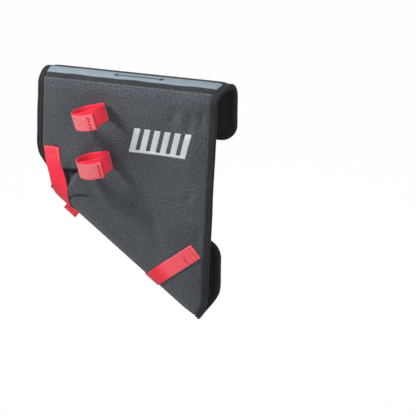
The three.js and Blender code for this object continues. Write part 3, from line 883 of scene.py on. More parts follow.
class Wire:
    """A shader value that Python's operators join with Math nodes."""

    def __init__(self, nodes: "Nodes", socket: bpy.types.NodeSocket) -> None:
        """Keeps the socket and the nodes that it belongs to."""
        self.nodes = nodes
        self.socket = socket

    def math(self, operation: str, first: "Wire | float", second: "Wire | float" = 0.0) -> "Wire":
        """Adds one Math node."""
        return self.nodes.node("ShaderNodeMath", {"operation": operation}, {0: first, 1: second})

    def __add__(self, other: "Wire | float") -> "Wire":
        """Adds two values."""
        return self.math("ADD", self, other)

    __radd__ = __add__

    def __sub__(self, other: "Wire | float") -> "Wire":
        """Takes a value from this one."""
        return self.math("SUBTRACT", self, other)

    def __rsub__(self, other: "Wire | float") -> "Wire":
        """Takes this value from another."""
        return self.math("SUBTRACT", other, self)

    def __mul__(self, other: "Wire | float") -> "Wire":
        """Multiplies two values."""
        return self.math("MULTIPLY", self, other)

    __rmul__ = __mul__

    def __truediv__(self, other: "Wire | float") -> "Wire":
        """Divides this value."""
        return self.math("DIVIDE", self, other)

    def __pow__(self, other: "Wire | float") -> "Wire":
        """Raises this value to a power."""
        return self.math("POWER", self, other)

    def sine(self) -> "Wire":
        """Sine of this value."""
        return self.math("SINE", self)

    def size(self) -> "Wire":
        """This value without its sign."""
        return self.math("ABSOLUTE", self)

    def clamped(self) -> "Wire":
        """This value held between 0 and 1."""
        return self.nodes.node("ShaderNodeClamp", {}, {0: self})

    def over(self, limit: "Wire | float") -> "Wire":
        """1 where this value is over a limit."""
        return self.math("GREATER_THAN", self, limit)


class Nodes:
    """Nodes of one material or of the world."""

    def __init__(self, tree: bpy.types.NodeTree) -> None:
        """Keeps the tree."""
        self.tree = tree

    def node(self, kind: str, settings: dict[str, object], values: dict[int | str, object],
             output: int | str = 0) -> Wire:
        """Adds one node.

        Args:
            kind: Node's type.
            settings: Its settings, or the stops of a ramp.
            values: Values or links of its sockets, by number or name.
            output: Which of its outputs is wanted.

        Returns:
            The output.
        """
        made = self.tree.nodes.new(kind)
        for setting, value in settings.items():
            if setting == "stops":
                ramp = made.color_ramp
                while len(ramp.elements) < len(value):
                    ramp.elements.new(0.5)
                for element, (place, colour) in zip(ramp.elements, value):
                    element.position = place
                    element.color = (*colour, 1.0)
            else:
                setattr(made, setting, value)
        for socket, value in values.items():
            if isinstance(value, Wire):
                self.tree.links.new(value.socket, made.inputs[socket])
            elif isinstance(value, tuple) and made.inputs[socket].type == "RGBA":
                made.inputs[socket].default_value = (*value, 1.0)
            else:
                made.inputs[socket].default_value = value
        return Wire(self, made.outputs[output])


class Paint(Nodes):
    """One material with its nodes."""

    def __init__(self, name: str, constants: dict[str, float | Colour]) -> None:
        """Makes the material, with the numbers that are the same all over it.

        Args:
            name: Material's name.
            constants: Values of the shader's sockets, by name.
        """
        self.material = bpy.data.materials.new(name)
        self.material.use_nodes = True
        super().__init__(self.material.node_tree)
        self.shader = next(n for n in self.tree.nodes if n.type == "BSDF_PRINCIPLED")
        for socket, value in constants.items():
            self.shader.inputs[socket].default_value = (*value, 1.0) if isinstance(value, tuple) else value

    def laid(self) -> tuple[Wire, Wire, Wire]:
        """Place on the cloth: along it, across it, and both as a vector, in metres.

        Returns:
            The three values.
        """
        place = self.node("ShaderNodeAttribute", {"attribute_name": "laid"}, {}, "Vector")
        parts = self.node("ShaderNodeSeparateXYZ", {}, {0: place})
        return parts, Wire(self, parts.socket.node.outputs[1]), place

    def noise(self, place: Wire, scale: Place, detail: float = 2.0,
              roughness: float = 0.5) -> Wire:
        """Noise from 0 to 1, with a scale for each direction, in cells per metre."""
        spread = self.node("ShaderNodeVectorMath", {"operation": "MULTIPLY"}, {0: place, 1: scale})
        return self.node("ShaderNodeTexNoise", {}, {"Vector": spread, "Scale": 1.0, "Detail": detail,
                                                    "Roughness": roughness}, "Fac")

    def mix(self, factor: Wire | float, first: Wire | Colour, second: Wire | Colour) -> Wire:
        """Mixes two colours."""
        return self.node("ShaderNodeMix", {"data_type": "RGBA"}, {0: factor, 6: first, 7: second}, 2)

    def colour(self, wire: Wire) -> None:
        """Feeds the base colour."""
        self.tree.links.new(wire.socket, self.shader.inputs["Base Color"])

    def roughness(self, wire: Wire) -> None:
        """Feeds the roughness."""
        self.tree.links.new(wire.socket, self.shader.inputs["Roughness"])

    def bump(self, height: Wire, distance: float) -> None:
        """Feeds the normal from a height.

        Args:
            height: Height from 0 to 1.
            distance: What 1 stands for, in metres.
        """
        normal = self.node("ShaderNodeBump", {}, {"Height": height, "Distance": distance, "Strength": 1.0},
                           "Normal")
        self.tree.links.new(normal.socket, self.shader.inputs["Normal"])


def threads_of(along: Wire, across: Wire, pitch: float) -> Wire:
    """Height of a plain weave, from 0 to 1, with two threads to a pitch each way."""
    warp, weft = ((place * (2 * math.pi / pitch)).sine() for place in (along, across))
    return (warp * weft).size() * 0.6 + (warp.size() + weft.size()) * 0.2


@dataclass(frozen=True)
class MottledCloth:
    """Woven polyester of two greys twisted together."""

    name: str
    dark: Colour
    light: Colour
    contrast: float = 2.5
    pitch: float = 0.0011
    roughness: float = 0.82
    sheen: float = 0.25

    def paint(self) -> Material:
        """Makes the material.

        Returns:
            The material.
        """
        paint = Paint(self.name, {"Sheen Weight": self.sheen, "Sheen Roughness": 0.5,
                                  "Specular IOR Level": 0.35})
        along, across, place = paint.laid()
        warp = paint.noise(place, (950.0, 330.0, 1.0), 2.0, 0.6)
        weft = paint.noise(place, (330.0, 950.0, 1.0), 2.0, 0.6)
        speck = paint.noise(place, (520.0, 520.0, 1.0))
        blotch = paint.noise(place, (16.0, 16.0, 1.0))
        share = ((warp + weft + speck - 1.5) * self.contrast + 0.5 + (blotch - 0.5) * 0.7).clamped()
        paint.colour(paint.mix(share, self.dark, self.light))
        paint.roughness((blotch - 0.5) * 0.2 + self.roughness)
        paint.bump(threads_of(along, across, self.pitch) + warp * 0.3, 0.00022)
        return paint.material


@dataclass(frozen=True)
class SmoothLining:
    """Smooth close-woven nylon."""

    name: str = "lining_cloth"
    dark: Colour = (0.005, 0.005, 0.007)
    light: Colour = (0.012, 0.011, 0.015)

    def paint(self) -> Material:
        """Makes the material.

        Returns:
            The material.
        """
        paint = Paint(self.name, {"Specular IOR Level": 0.45, "Sheen Weight": 0.1})
        along, across, place = paint.laid()
        soft = paint.noise(place, (28.0, 28.0, 1.0), 3.0)
        paint.colour(paint.mix(soft, self.dark, self.light))
        paint.roughness(soft * 0.25 + 0.42)
        paint.bump(threads_of(along, across, 0.0006) * 0.25 + soft, 0.0005)
        return paint.material


@dataclass(frozen=True)
class RibbedTape:
    """Grosgrain tape, ribbed across its length."""

    name: str
    dark: Colour
    light: Colour
    rib: float = 0.0012
    roughness: float = 0.72

    def paint(self) -> Material:
        """Makes the material.

        Returns:
            The material.
        """
        paint = Paint(self.name, {"Sheen Weight": 0.03, "Sheen Roughness": 0.4, "Specular IOR Level": 0.25})
        along, across, place = paint.laid()
        ribs = (along * (math.pi / self.rib)).sine().size()
        fibre = paint.noise(place, (500.0, 2600.0, 1.0), 3.0)
        worn = paint.noise(place, (40.0, 40.0, 1.0))
        share = (ribs * 0.45 + fibre * 0.5 + (worn - 0.5) * 0.7 - 0.1).clamped()
        paint.colour(paint.mix(share, self.dark, self.light))
        paint.roughness((fibre - 0.5) * 0.3 + self.roughness)
        cross = (across * (math.pi / self.rib * 2)).sine().size()
        paint.bump(ribs + cross * 0.25 + fibre * 0.3, 0.00028)
        return paint.material


@dataclass(frozen=True)
class Webbing:
    """Woven nylon webbing with a chevron face and tight edges, paler up to a place along it when one is given.
    """

    name: str
    deep: Colour
    bright: Colour
    width: float = 0.025
    pitch: float = 0.0021
    # Below 0 the edges are a darker selvedge; above 0 they are paler, which on the right strap is a painted
    # highlight.
    selvedge_and_highlight: float = -0.4
    # Place along the strap, in metres, up to which it keeps its paler colours; past it comes the deeper red
    # below.
    pale_until: float | None = None
    beyond_pale: Colour = (0.96, 0.028, 0.066)

    def paint(self) -> Material:
        """Makes the material.

        Returns:
            The material.
        """
        paint = Paint(self.name, {"Sheen Weight": 0.15, "Sheen Roughness": 0.4, "Specular IOR Level": 0.4})
        along, across, place = paint.laid()
        columns = (across * (math.pi / self.pitch)).sine()
        slant = (along * (2 * math.pi / 0.0012) + columns.over(0.0) * math.pi
                 + (across * (2 * math.pi / self.pitch))).sine()
        fibre = paint.noise(place, (900.0, 900.0, 1.0), 3.0)
        broad = paint.noise(place, (60.0, 60.0, 1.0))
        height = columns.size() * 0.45 + (slant * 0.5 + 0.5) * 0.4 + fibre * 0.25
        edge = (across.size() / (self.width / 2)) ** 14.0
        # Edges darker or paler by the share above; the paler edges on the right strap are a painted highlight.
        share = (height * 0.75 + (broad - 0.5) * 0.5 + edge * self.selvedge_and_highlight + 0.15).clamped()
        colour = paint.mix(share, self.deep, self.bright)
        # Paler up to a place along the strap, then a deeper red; on the right strap the paler stretch is a
        # painted lit copy of the red webbing.
        if self.pale_until is not None:
            colour = paint.mix(((along - self.pale_until) * 50.0).clamped(), colour, self.beyond_pale)
        paint.colour(colour)
        paint.roughness((fibre - 0.5) * 0.3 + 0.62)
        paint.bump(height, 0.00030)
        return paint.material


@dataclass(frozen=True)
class BrushedFace:
    """Brushed loop face, whose pile scatters the light."""

    name: str
    deep: Colour
    pale: Colour
    sheen: float = 0.6
    width: float = 0.025

    def paint(self) -> Material:
        """Makes the material.

        Returns:
            The material.
        """
        paint = Paint(self.name, {"Sheen Weight": self.sheen, "Sheen Roughness": 0.6,
                                  "Sheen Tint": self.pale, "Specular IOR Level": 0.2})
        _, across, place = paint.laid()
        pile = paint.noise(place, (1300.0, 500.0, 1.0), 4.0, 0.7)
        tuft = paint.noise(place, (620.0, 260.0, 1.0))
        lay = paint.noise(place, (60.0, 140.0, 1.0))
        bare = (across.size() / (self.width / 2)) ** 12.0
        share = ((pile - 0.5) * 1.3 + (tuft - 0.5) * 1.4 + (lay - 0.5) * 0.7 + 0.6 - bare * 0.9).clamped()
        paint.colour(paint.mix(share, self.deep, self.pale))
        paint.roughness(pile * 0.2 + 0.8)
        paint.bump(pile * 0.6 + tuft * 0.5, 0.0006)
        return paint.material


@dataclass(frozen=True)
class HookTape:
    """Hook tape: rows of small stiff hooks on a woven ground."""

    name: str
    deep: Colour
    bright: Colour

    def paint(self) -> Material:
        """Makes the material.

        Returns:
            The material.
        """
        paint = Paint(self.name, {"Specular IOR Level": 0.5})
        along, across, place = paint.laid()
        rows = (along * (math.pi / 0.0014)).sine().size() * (across * (math.pi / 0.0016)).sine().size()
        ruffle = paint.noise(place, (900.0, 900.0, 1.0), 3.0)
        share = (rows * 0.9 + (ruffle - 0.5) * 0.5).clamped()
        paint.colour(paint.mix(share, self.deep, self.bright))
        paint.roughness(ruffle * 0.2 + 0.45)
        paint.bump(rows + ruffle * 0.3, 0.0007)
        return paint.material


@dataclass(frozen=True)
class Ribbon:
    """Close-woven pale ribbon with a slight gloss."""

    name: str = "pale_strip"
    shade: Colour = (0.145, 0.195, 0.235)
    light: Colour = (0.270, 0.330, 0.375)

    def paint(self) -> Material:
        """Makes the material.

        Returns:
            The material.
        """
        paint = Paint(self.name, {"Specular IOR Level": 0.5, "Sheen Weight": 0.1})
        along, across, place = paint.laid()
        ribs = ((along + across) * (2 * math.pi / 0.0010)).sine().size()
        cloud = paint.noise(place, (35.0, 70.0, 1.0), 3.0)
        grain = paint.noise(place, (1800.0, 1800.0, 1.0))
        share = (ribs * 0.25 + cloud * 0.6 + (grain - 0.5) * 0.5).clamped()
        paint.colour(paint.mix(share, self.shade, self.light))
        paint.roughness((grain - 0.5) * 0.3 + 0.5)
        paint.bump(ribs * 0.6 + grain * 0.4, 0.00015)
        return paint.material


@dataclass(frozen=True)
class Ink:
    """Screen print that the weave shows through."""

    name: str
    thin: Colour
    full: Colour

    def paint(self) -> Material:
        """Makes the material.

        Returns:
            The material.
        """
        paint = Paint(self.name, {"Specular IOR Level": 0.4})
        along, across, place = paint.laid()
        weave = threads_of(along, across, 0.0011)
        patch = paint.noise(place, (260.0, 260.0, 1.0), 3.0, 0.6)
        share = (weave * 0.5 + patch * 0.9).clamped()
        paint.colour(paint.mix(share, self.thin, self.full))
        paint.roughness(patch * 0.2 + 0.5)
        paint.bump(weave, 0.00015)
        return paint.material


@dataclass(frozen=True)
class Thread:
    """Twisted sewing thread."""

    name: str
    shade: Colour
    light: Colour

    def paint(self) -> Material:
        """Makes the material.

        Returns:
            The material.
        """
        paint = Paint(self.name, {"Specular IOR Level": 0.5, "Sheen Weight": 0.2})
        along, _, place = paint.laid()
        ply = (along * (2 * math.pi / 0.0009)).sine() * 0.5 + 0.5
        fibre = paint.noise(place, (700.0, 700.0, 700.0))
        paint.colour(paint.mix((ply * 0.6 + fibre * 0.4).clamped(), self.shade, self.light))
        paint.roughness(fibre * 0.2 + 0.45)
        paint.bump(ply, 0.0001)
        return paint.material


class Wardrobe:
    """Finishes of this pad, each made once."""

    def __init__(self) -> None:
        """Makes the materials."""
        self.heather = MottledCloth("heather_cloth", (0.020, 0.025, 0.032), (0.101, 0.116, 0.136)).paint()
        self.black = MottledCloth("black_cloth", (0.012, 0.014, 0.017), (0.046, 0.051, 0.060), contrast=2.2,
                                  sheen=0.04).paint()
        self.lining = SmoothLining().paint()
        self.tape = RibbedTape("edge_tape", (0.009, 0.010, 0.012), (0.043, 0.045, 0.052)).paint()
        self.red = Webbing("red_webbing", (0.84, 0.012, 0.044), (1.0, 0.036, 0.080)).paint()
        # Painted light: a lit, paler and pinker copy of the red webbing for the right strap, with a painted
        # highlight along both edges, up to 53 mm along it, then a deeper red.
        self.painted_lit_red = Webbing("light_red_webbing", (0.92, 0.035, 0.065), (1.0, 0.155, 0.185), selvedge_and_highlight=0.35,
                                 pale_until=0.053).paint()
        # Left strap: paler up to 14 mm along it, then a deeper red, with slightly paler edges.
        self.pale_end_red = Webbing("worn_red_webbing", (0.86, 0.022, 0.055), (1.0, 0.070, 0.115), selvedge_and_highlight=0.2,
                                pale_until=0.014).paint()
        self.sealed_red = Webbing("sealed_red_end", (0.62, 0.002, 0.014), (0.86, 0.008, 0.035)).paint()
        self.brushed_red = BrushedFace("soft_red_face", (0.68, 0.066, 0.100), (0.88, 0.235, 0.255)).paint()
        self.loop = BrushedFace("loop_tape", (0.012, 0.012, 0.014), (0.045, 0.045, 0.050), sheen=0.3).paint()
        self.hook = HookTape("hook_tape", (0.36, 0.008, 0.03), (0.75, 0.03, 0.07)).paint()
        self.ribbon = Ribbon().paint()
        self.pale_ink = Ink("pale_print", (0.42, 0.47, 0.49), (0.68, 0.74, 0.77)).paint()
        self.dark_ink = Ink("dark_print", (0.020, 0.021, 0.024), (0.040, 0.041, 0.045)).paint()
        self.dark_thread = Thread("dark_thread", (0.012, 0.012, 0.014), (0.050, 0.052, 0.058)).paint()
        self.grey_thread = Thread("grey_thread", (0.12, 0.13, 0.14), (0.30, 0.32, 0.34)).paint()
        self.red_thread = Thread("red_thread", (0.70, 0.002, 0.02), (0.95, 0.012, 0.05)).paint()
        self.bright_thread = Thread("bright_thread", (0.70, 0.03, 0.07), (0.95, 0.12, 0.15)).paint()
        self.pink_thread = Thread("pink_thread", (0.90, 0.22, 0.22), (1.0, 0.52, 0.50)).paint()


def dress(piece: Object, material: Material, slot: str, *nodes: str) -> Object:
    """Gives a piece its material, its body and the solids that it stands for.

    Args:
        piece: The finished mesh object.
        material: Its material.
        slot: The record's material slot; not used.
        nodes: Solids that it replaces.

    Returns:
        The same object.
    """
    piece.data.materials.append(material)
    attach(piece, BODY)
    if nodes:
        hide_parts(*nodes)
    LOG.info("%s: %d faces", piece.name, len(piece.data.polygons))
    return piece


@dataclass
class OnPad:
    """What the sub-assemblies share: the cloth, its relief and the finishes."""

    cloth: ClothMap
    relief: Relief
    wardrobe: Wardrobe

    def sheet(self, name: str, flat: Array, low: Array, high: Array) -> Object:
        """Makes a closed sheet over a grid of flat points, between two heights."""
        top, foot = self.cloth.wrap(flat, high), self.cloth.wrap(flat, low)
        return Maker.slab(name, top, foot, woven(flat[..., 0], flat[..., 1]))


@dataclass
class PadBody(OnPad):
    """The two padded covers and the lining inside them."""

    pitch: float = 2.0
    lining_pitch: float = 3.0
    inset: float = 0.4
    low: float = 1.1
    lining_thickness: float = 0.7
    half_gap: float = 0.15
    seam_ends: Pair = (10.0, 7.0)
    seam_stitch: Stitch = Stitch(4.6, 2.6, 0.4, 0.8)
    seam_thread: float = 0.48

    def surface(self, flat: Array) -> Sewn:
        """Points of the outer cloth and its outward directions."""
        return raised(partial(self.cloth.wrap, flat), self.relief.cover(flat))

    def cover(self, name: str, first: float, last: float) -> Object:
        """Makes one padded cover between two stations."""
        flat = self.cloth.grid(first, last, self.pitch, self.inset)
        return self.sheet(name, flat, self.low + self.relief.body(flat), self.relief.cover(flat))

    def build(self) -> None:
        """Makes the covers, the lining and the row of stitches along the seam."""
        seam = Zone.SADDLE.value + 1 - self.relief.seam_angle / math.pi
        gap = self.half_gap / self.cloth.saddle_run
        front = self.cover("front_pad", seam + gap, 5)
        dress(front, self.wardrobe.heather, "heather_cloth", "front_cover", "front_foam", "down_tube_foam",
              "lower_flap_foam")
        saddle = self.cover("saddle_pad", 0, seam - gap)
        dress(saddle, self.wardrobe.black, "black_cloth", "saddle_cover", "top_tube_foam", "upper_flap_foam")

        flat = self.cloth.grid(0, 5, self.lining_pitch, self.inset)
        pocket = self.relief.pocket(flat)
        lining = self.sheet("pad_lining", flat, pocket, pocket + self.lining_thickness)
        dress(lining, self.wardrobe.lining, "lining_cloth", "lining")
        width, length, area = self.cloth.flat_size

        row = self.cloth.axis_height + self.cloth.top_radius * self.relief.seam_angle - self.relief.seam_below
        left, right = self.seam_ends
        line = np.array([[self.cloth.top_left[0] + left, row], [self.cloth.top_right[0] - right, row]])
        stitches = self.seam_stitch.sew(line, self.surface)
        dress(Maker.threads("seam_threads", stitches, self.seam_thread), self.wardrobe.grey_thread,
              "heather_cloth")


@dataclass
class EdgeTapes(OnPad):
    """Ribbed tape folded round the pad's raw edge, with a row of stitches on each face."""

    pitch: float = 2.2
    face: float = 7.5
    join: float = 0.5
    row_inset: float = 1.7
    outer_height: float = 7.75
    inner_height: float = -0.9
    stitch: Stitch = Stitch(3.4, 2.7, 0.16)
    thread: float = 0.24

    @cached_property
    def section(self) -> Array:
        """Section of the tape: distance inside the edge, and height.

        Returns:
            Corners of the section, in order round it.
        """
        upper = [(self.face, 6.5), (self.face, 7.6), (self.face - 0.5, 7.9), (5.6, 8.05), (4.2, 8.1),
                 (3.5, 7.65), (2.9, 7.7), (2.3, 8.35), (1.3, 8.5), (0.2, 8.25), (-0.6, 7.6), (-1.05, 6.5)]
        middle = [(-1.3, 5.0), (-1.35, 3.6), (-1.25, 2.3)]
        lower = [(-1.05, 1.1), (-0.6, 0.0), (0.2, -0.65), (1.3, -1.0), (2.6, -1.05), (self.face - 0.6, -0.85),
                 (self.face, -0.7), (self.face, -0.15)]
        inner = [(0.3, -0.25), (-0.25, 0.4), (-0.25, 6.4), (0.3, 7.0)]
        return np.array(upper + middle + lower + inner)

    @cached_property
    def runs(self) -> dict[str, Array]:
        """Flat outline points of each run of tape.

        Returns:
            Points by the solid's name.
        """
        upper, lower = self.join, Zone.LOWER_FLAP.value + self.join
        right = self.cloth.side(upper, lower, 1, self.pitch)
        left = self.cloth.side(upper, lower, 0, self.pitch)[::-1]
        low = np.concatenate([self.cloth.side(lower, 5, 1, self.pitch),
                              self.cloth.side(lower, 5, 0, self.pitch)[::-1]])
        high = np.concatenate([self.cloth.side(0, upper, 0, self.pitch)[::-1],
                               self.cloth.side(0, upper, 1, self.pitch)])
        return {"right_edge_binding": right, "lower_flap_binding": low, "left_edge_binding": left,
                "upper_flap_binding": high}

    def inward(self, points: Array) -> Array:
        """Direction into the cloth at each outline point, square to the tube over the top tube.

        Args:
            points: Points of the outline.

        Returns:
            Directions at length 1.
        """
        run = unit(np.gradient(points, axis=0))
        side = np.stack([run[:, 1], -run[:, 0]], -1)
        low = self.cloth.axis_height
        over = (points[:, 1] > low) & (points[:, 1] < low + self.cloth.saddle_run)
        side[over] = np.stack([np.sign(run[over, 1]), np.zeros(over.sum())], -1)
        padded = np.concatenate([side[:1]] * 2 + [side] + [side[-1:]] * 2)
        return unit(sum(padded[i:i + len(side)] for i in range(5)))

    def pucker(self, gone: Array) -> Array:
        """Small ripples of the tape along its length."""
        return 0.13 * np.sin(gone / 2.9) * np.sin(gone / 11.0 + 1.3) + 0.12 * np.sin(gone / 6.7 + 0.5)

    def build(self) -> None:
        """Makes the four runs and their stitches."""
        outer, inner = [], []
        for name, line in self.runs.items():
            points = even_along(line, self.pitch)
            side = self.inward(points)
            steps = travelled(points)[:, None]
            inset, rise = self.section[None, :, 0], self.section[None, :, 1]
            flat = points[:, None] + side[:, None] * inset[..., None]
            body = self.relief.body(points + side * 4.0)[:, None]
            ripple = self.pucker(steps) * np.clip(rise - 6.0, -1.5, 2.0) / 2.0
            drop = self.relief.drop(flat, np.broadcast_to(inset, flat.shape[:2]))
            height = rise + body + ripple - drop * np.clip((rise - 0.5) / 6.0, 0.0, 1.0)
            laid = woven(steps, travelled(self.section)[None, :])
            tape = Maker.tube(f"{name}_tape", self.cloth.wrap(flat, height), laid)
            dress(tape, self.wardrobe.tape, "edge_tape", name)
            outer += self.stitches(points, side, self.outer_height, 1.0)
            inner += self.stitches(points, side, self.inner_height, -1.0)
        for place, stitches in (("outside", outer), ("inside", inner)):
            threads = Maker.threads(f"tape_threads_{place}", stitches, self.thread)
            dress(threads, self.wardrobe.dark_thread, "edge_tape")

    def stitches(self, points: Array, side: Array, height: float, facing: float) -> list[Sewn]:
        """Stitches along one face of a run of tape.

        Args:
            points: Outline points of the run.
            side: Direction into the cloth at each.
            height: Height of the tape's face at the row.
            facing: 1 for the outer face and -1 for the inner one.

        Returns:
            Paths and outward directions.
        """
        inset = self.face - self.row_inset

        def surface(flat: Array) -> Sewn:
            """Points and outward directions on the tape's face.

            Args:
                flat: Flat points.

            Returns:
                Points in space and outward directions.
            """
            lowered = self.relief.drop(flat, np.full(flat.shape[:-1], inset)) if facing > 0 else 0.0
            level = height + self.relief.body(flat) - lowered
            found, outward = raised(partial(self.cloth.wrap, flat), level)
            return found, outward * facing

        return self.stitch.sew(points + side * inset, surface)


@dataclass
class Band:
    """A strap laid on the cloth along a flat line."""

    cloth: ClothMap
    relief: Relief
    line: Array
    width: float
    thickness: float
    level: Callable[[Array, Array], Array]
    hem: float = 0.0
    hem_rise: float = 0.0
    skew: float = 0.0
    skew_run: float = 26.0
    flat_margin: float = 1.0
    round_margin: float = 0.35

    @cached_property
    def length(self) -> float:
        """Length of the flat line."""
        return float(np.linalg.norm(np.diff(self.line, axis=0), axis=1).sum())

    @cached_property
    def steps(self) -> Array:
        """Distance of each point of the line from its start."""
        return travelled(self.line)

    @cached_property
    def section(self) -> Array:
        """Section of the strap: place across it, and height, with soft edges."""
        shape = strap_section(self.width, self.flat_margin, self.round_margin)
        return shape * np.array([1.0, self.thickness])

    def on_line(self, distance: Array) -> Array:
        """Flat points of the line at distances from its start."""
        return np.stack([np.interp(distance, self.steps, self.line[:, i]) for i in (0, 1)], -1)

    def flat_at(self, distance: Array, across: Array) -> Array:
        """Flat points at distances along the line and places across it, skewed at the start.

        Args:
            distance: Distances from the line's start.
            across: Places across the strap.

        Returns:
            Flat points.
        """
        distance = distance + across * self.skew * (1.0 - smooth(distance, 0.0, self.skew_run))
        run = unit(self.on_line(distance + 0.5) - self.on_line(distance - 0.5))
        return self.on_line(distance) + np.stack([-run[..., 1], run[..., 0]], -1) * across[..., None]

    def place(self, distance: Array, across: Array, offset: Array) -> Array:
        """Points in space at distances along, places across and offsets above the strap's inner face."""
        flat = self.flat_at(distance, across)
        return self.cloth.wrap(flat, self.level(distance, flat) + offset)

    def extra(self, distance: Array) -> Array:
        """Thickness that the folded hem adds."""
        return self.hem_rise * (1.0 - smooth(distance, self.hem - 0.8, self.hem + 0.8))

    def solid(self, name: str) -> Object:
        """Makes the strap's mesh.

        Args:
            name: Object's name.

        Returns:
            The strap.
        """
        distance = np.linspace(0.0, self.length, math.ceil(self.length / STRAP_PITCH) + 1)
        if self.hem:
            distance = np.unique(np.concatenate([distance, self.hem + np.linspace(-1.0, 1.0, 5)]))
        near, across = np.broadcast_arrays(distance[:, None], self.section[None, :, 0])
        share = self.section[None, :, 1] / self.thickness
        offset = self.section[None, :, 1] + self.extra(distance)[:, None] * share
        return Maker.tube(name, self.place(near, across, offset), woven(near, across))

    def surface(self, points: Array) -> Sewn:
        """Points and outward directions on the strap's face, for (distance, across) points."""
        lift = self.thickness + self.extra(points[:, 0])
        return raised(partial(self.place, points[:, 0], points[:, 1]), lift)


@dataclass
class DownTubeStraps(OnPad):
    """Two webbing straps that hold the pad to the down tube, with their hook and loop tapes."""

    width: float = 25.0
    thickness: float = 1.5
    on_cloth: float = 7.8
    behind: float = 10.2
    tape_rise: float = 1.1
    tape_thickness: float = 0.9
    tail_radius: float = 2.4
    left_rear: float = 40.0
    right_rear: float = 44.0
    left_tail: float = 81.0
    clearance: float = 0.3
    right_start: Pair = (112.1, -244.7)
    right_turn: float = -14.0
    left_start: Pair = (-120.5, -108.0)
    left_crossing: float = 46.0
    left_under: float = 74.0
    left_behind: float = 76.2
    loop_length: float = 40.0
    loop_height: float = 7.8
    hook_length: float = 32.0
    hook_height: float = 9.0
    hook_margin: float = 1.5
    tail_hem: float = 0.9
    box_inset: float = 2.4
    box: Stitch = Stitch(3.2, 2.2, 0.3)
    row: Stitch = Stitch(2.9, 1.9, 0.42)
    slanted_row: Stitch = Stitch(2.9, 1.9, 0.42, 0.5)
    long_row: Stitch = Stitch(2.8, 2.2, 0.34)
    tack: Stitch = Stitch(4.2, 2.1, 0.42)
    tail_row: Stitch = Stitch(3.0, 2.3, 0.2)

    def seat(self, flat: Array) -> Array:
        """Height at which a strap lies on the cloth."""
        lowest = self.on_cloth - 0.4 + self.relief.body(flat)
        return np.maximum(self.relief.cover(flat) + self.clearance, lowest)

    def right_line(self) -> Array:
        """Flat line of the right strap.

        Returns:
            Points of the line.
        """
        start = np.array(self.right_start)
        turn = math.radians(self.right_turn)
        under = self.cloth.under
        away = np.array([under[0] * math.cos(turn) - under[1] * math.sin(turn),
                         under[0] * math.sin(turn) + under[1] * math.cos(turn)])
        reach = (self.cloth.cradle_run + self.right_rear - float(self.cloth.past(start))) / float(away @ under)
        return even_along(np.array([start, start + away * reach]), STRAP_PITCH)

    def left_line(self) -> Array:
        """Flat line of the left strap, smooth through its turning points.

        Returns:
            Points of the line.
        """
        start = np.array(self.left_start)
        crossing = self.cloth.on_tube(self.left_crossing, 0.0)
        bow = (start + crossing) / 2 - np.array([2.0, 0.0])
        run = self.cloth.cradle_run
        knots = [start, bow, crossing, self.cloth.on_tube(self.left_under, run * 0.4),
                 self.cloth.on_tube(self.left_behind, run),
                 self.cloth.on_tube(self.left_behind, run + self.left_rear)]
        return even_along(self.through(knots), STRAP_PITCH)

    @staticmethod
    def through(knots: Sequence[Array]) -> Array:
        """Centripetal curve through flat points.

        Args:
            knots: Points that it passes.

        Returns:
            Points of the curve.
        """
        points = [2 * knots[0] - knots[1], *knots, 2 * knots[-1] - knots[-2]]
        made = []
        for before, first, second, after in zip(points, points[1:], points[2:], points[3:]):
            times = [0.0]
            for a, b in ((before, first), (first, second), (second, after)):
                times.append(times[-1] + math.sqrt(float(np.linalg.norm(b - a))))
            t = np.linspace(times[1], times[2], 24, endpoint=False)[:, None]
            layer = [before, first, second, after]
            for span in (1, 2):
                layer = [(high - t) / (high - low) * start + (t - low) / (high - low) * stop
                         for low, high, start, stop in zip(times, times[span:], layer, layer[1:])]
            made.append((times[2] - t) / (times[2] - times[1]) * layer[0]
                        + (t - times[1]) / (times[2] - times[1]) * layer[1])
        return np.concatenate([*made, knots[-1][None]])

    def rear_share(self, flat: Array) -> Array:
        """How far a strap has risen over the hook tape behind the tube."""
        run = self.cloth.cradle_run
        return smooth(self.cloth.past(flat), run * 0.5, run * 0.95)

    def right_level(self, _: Array, flat: Array) -> Array:
        """Height of the right strap's inner face."""
        front = self.seat(flat)
        return front + (self.behind + self.relief.body(flat) - front) * self.rear_share(flat)

    def left_level(self, distance: Array, flat: Array) -> Array:
        """Height of the left strap's inner face, taut over the folds and slack under the tube.

        Args:
            distance: Distances from the strap's start.
            flat: Flat points.

        Returns:
            The heights.
        """
        past = self.cloth.past(flat)
        run = self.cloth.cradle_run
        lowered = smooth(past, run * 0.25, run * 0.6)
        slack = 0.8 * np.sin(math.pi * np.clip(past / run, 0.0, 1.0))
        sewn = 1.0 - smooth(distance, 24.0, 44.0)
        taut = self.on_cloth + self.tape_rise * (1.0 - lowered) + slack + self.relief.body(flat)
        front = np.maximum(taut - 0.2 * sewn, self.relief.cover(flat) + self.clearance)
        return front + (self.behind + self.relief.body(flat) - front) * self.rear_share(flat)

    def box_stitch(self, band: Band, length: float) -> list[Sewn]:
        """Stitches round a box at a strap's sewn end.

        Args:
            band: The strap.
            length: Distance to the box's far side.

        Returns:
            Paths and outward directions.
        """
        inset, half = self.box_inset, self.width / 2 - self.box_inset
        corners = np.array([[inset, -half], [inset, half], [length, half], [length, -half], [inset, -half]])
        made = []
        for first, second in zip(corners[:-1], corners[1:]):
            made += self.box.sew(np.array([first, second]), band.surface)
        return made

    def sewn(self, name: str, stitches: list[Sewn], radius: float, thread: Material) -> None:
        """Makes the threads of one box or of some rows."""
        dress(Maker.threads(name, stitches, radius), thread, "red_webbing")

    def tape_level(self, height: float, _: Array, flat: Array) -> Array:
        """Height of a tape's inner face, which follows only the flap's waves."""
        return height + self.relief.body(flat)

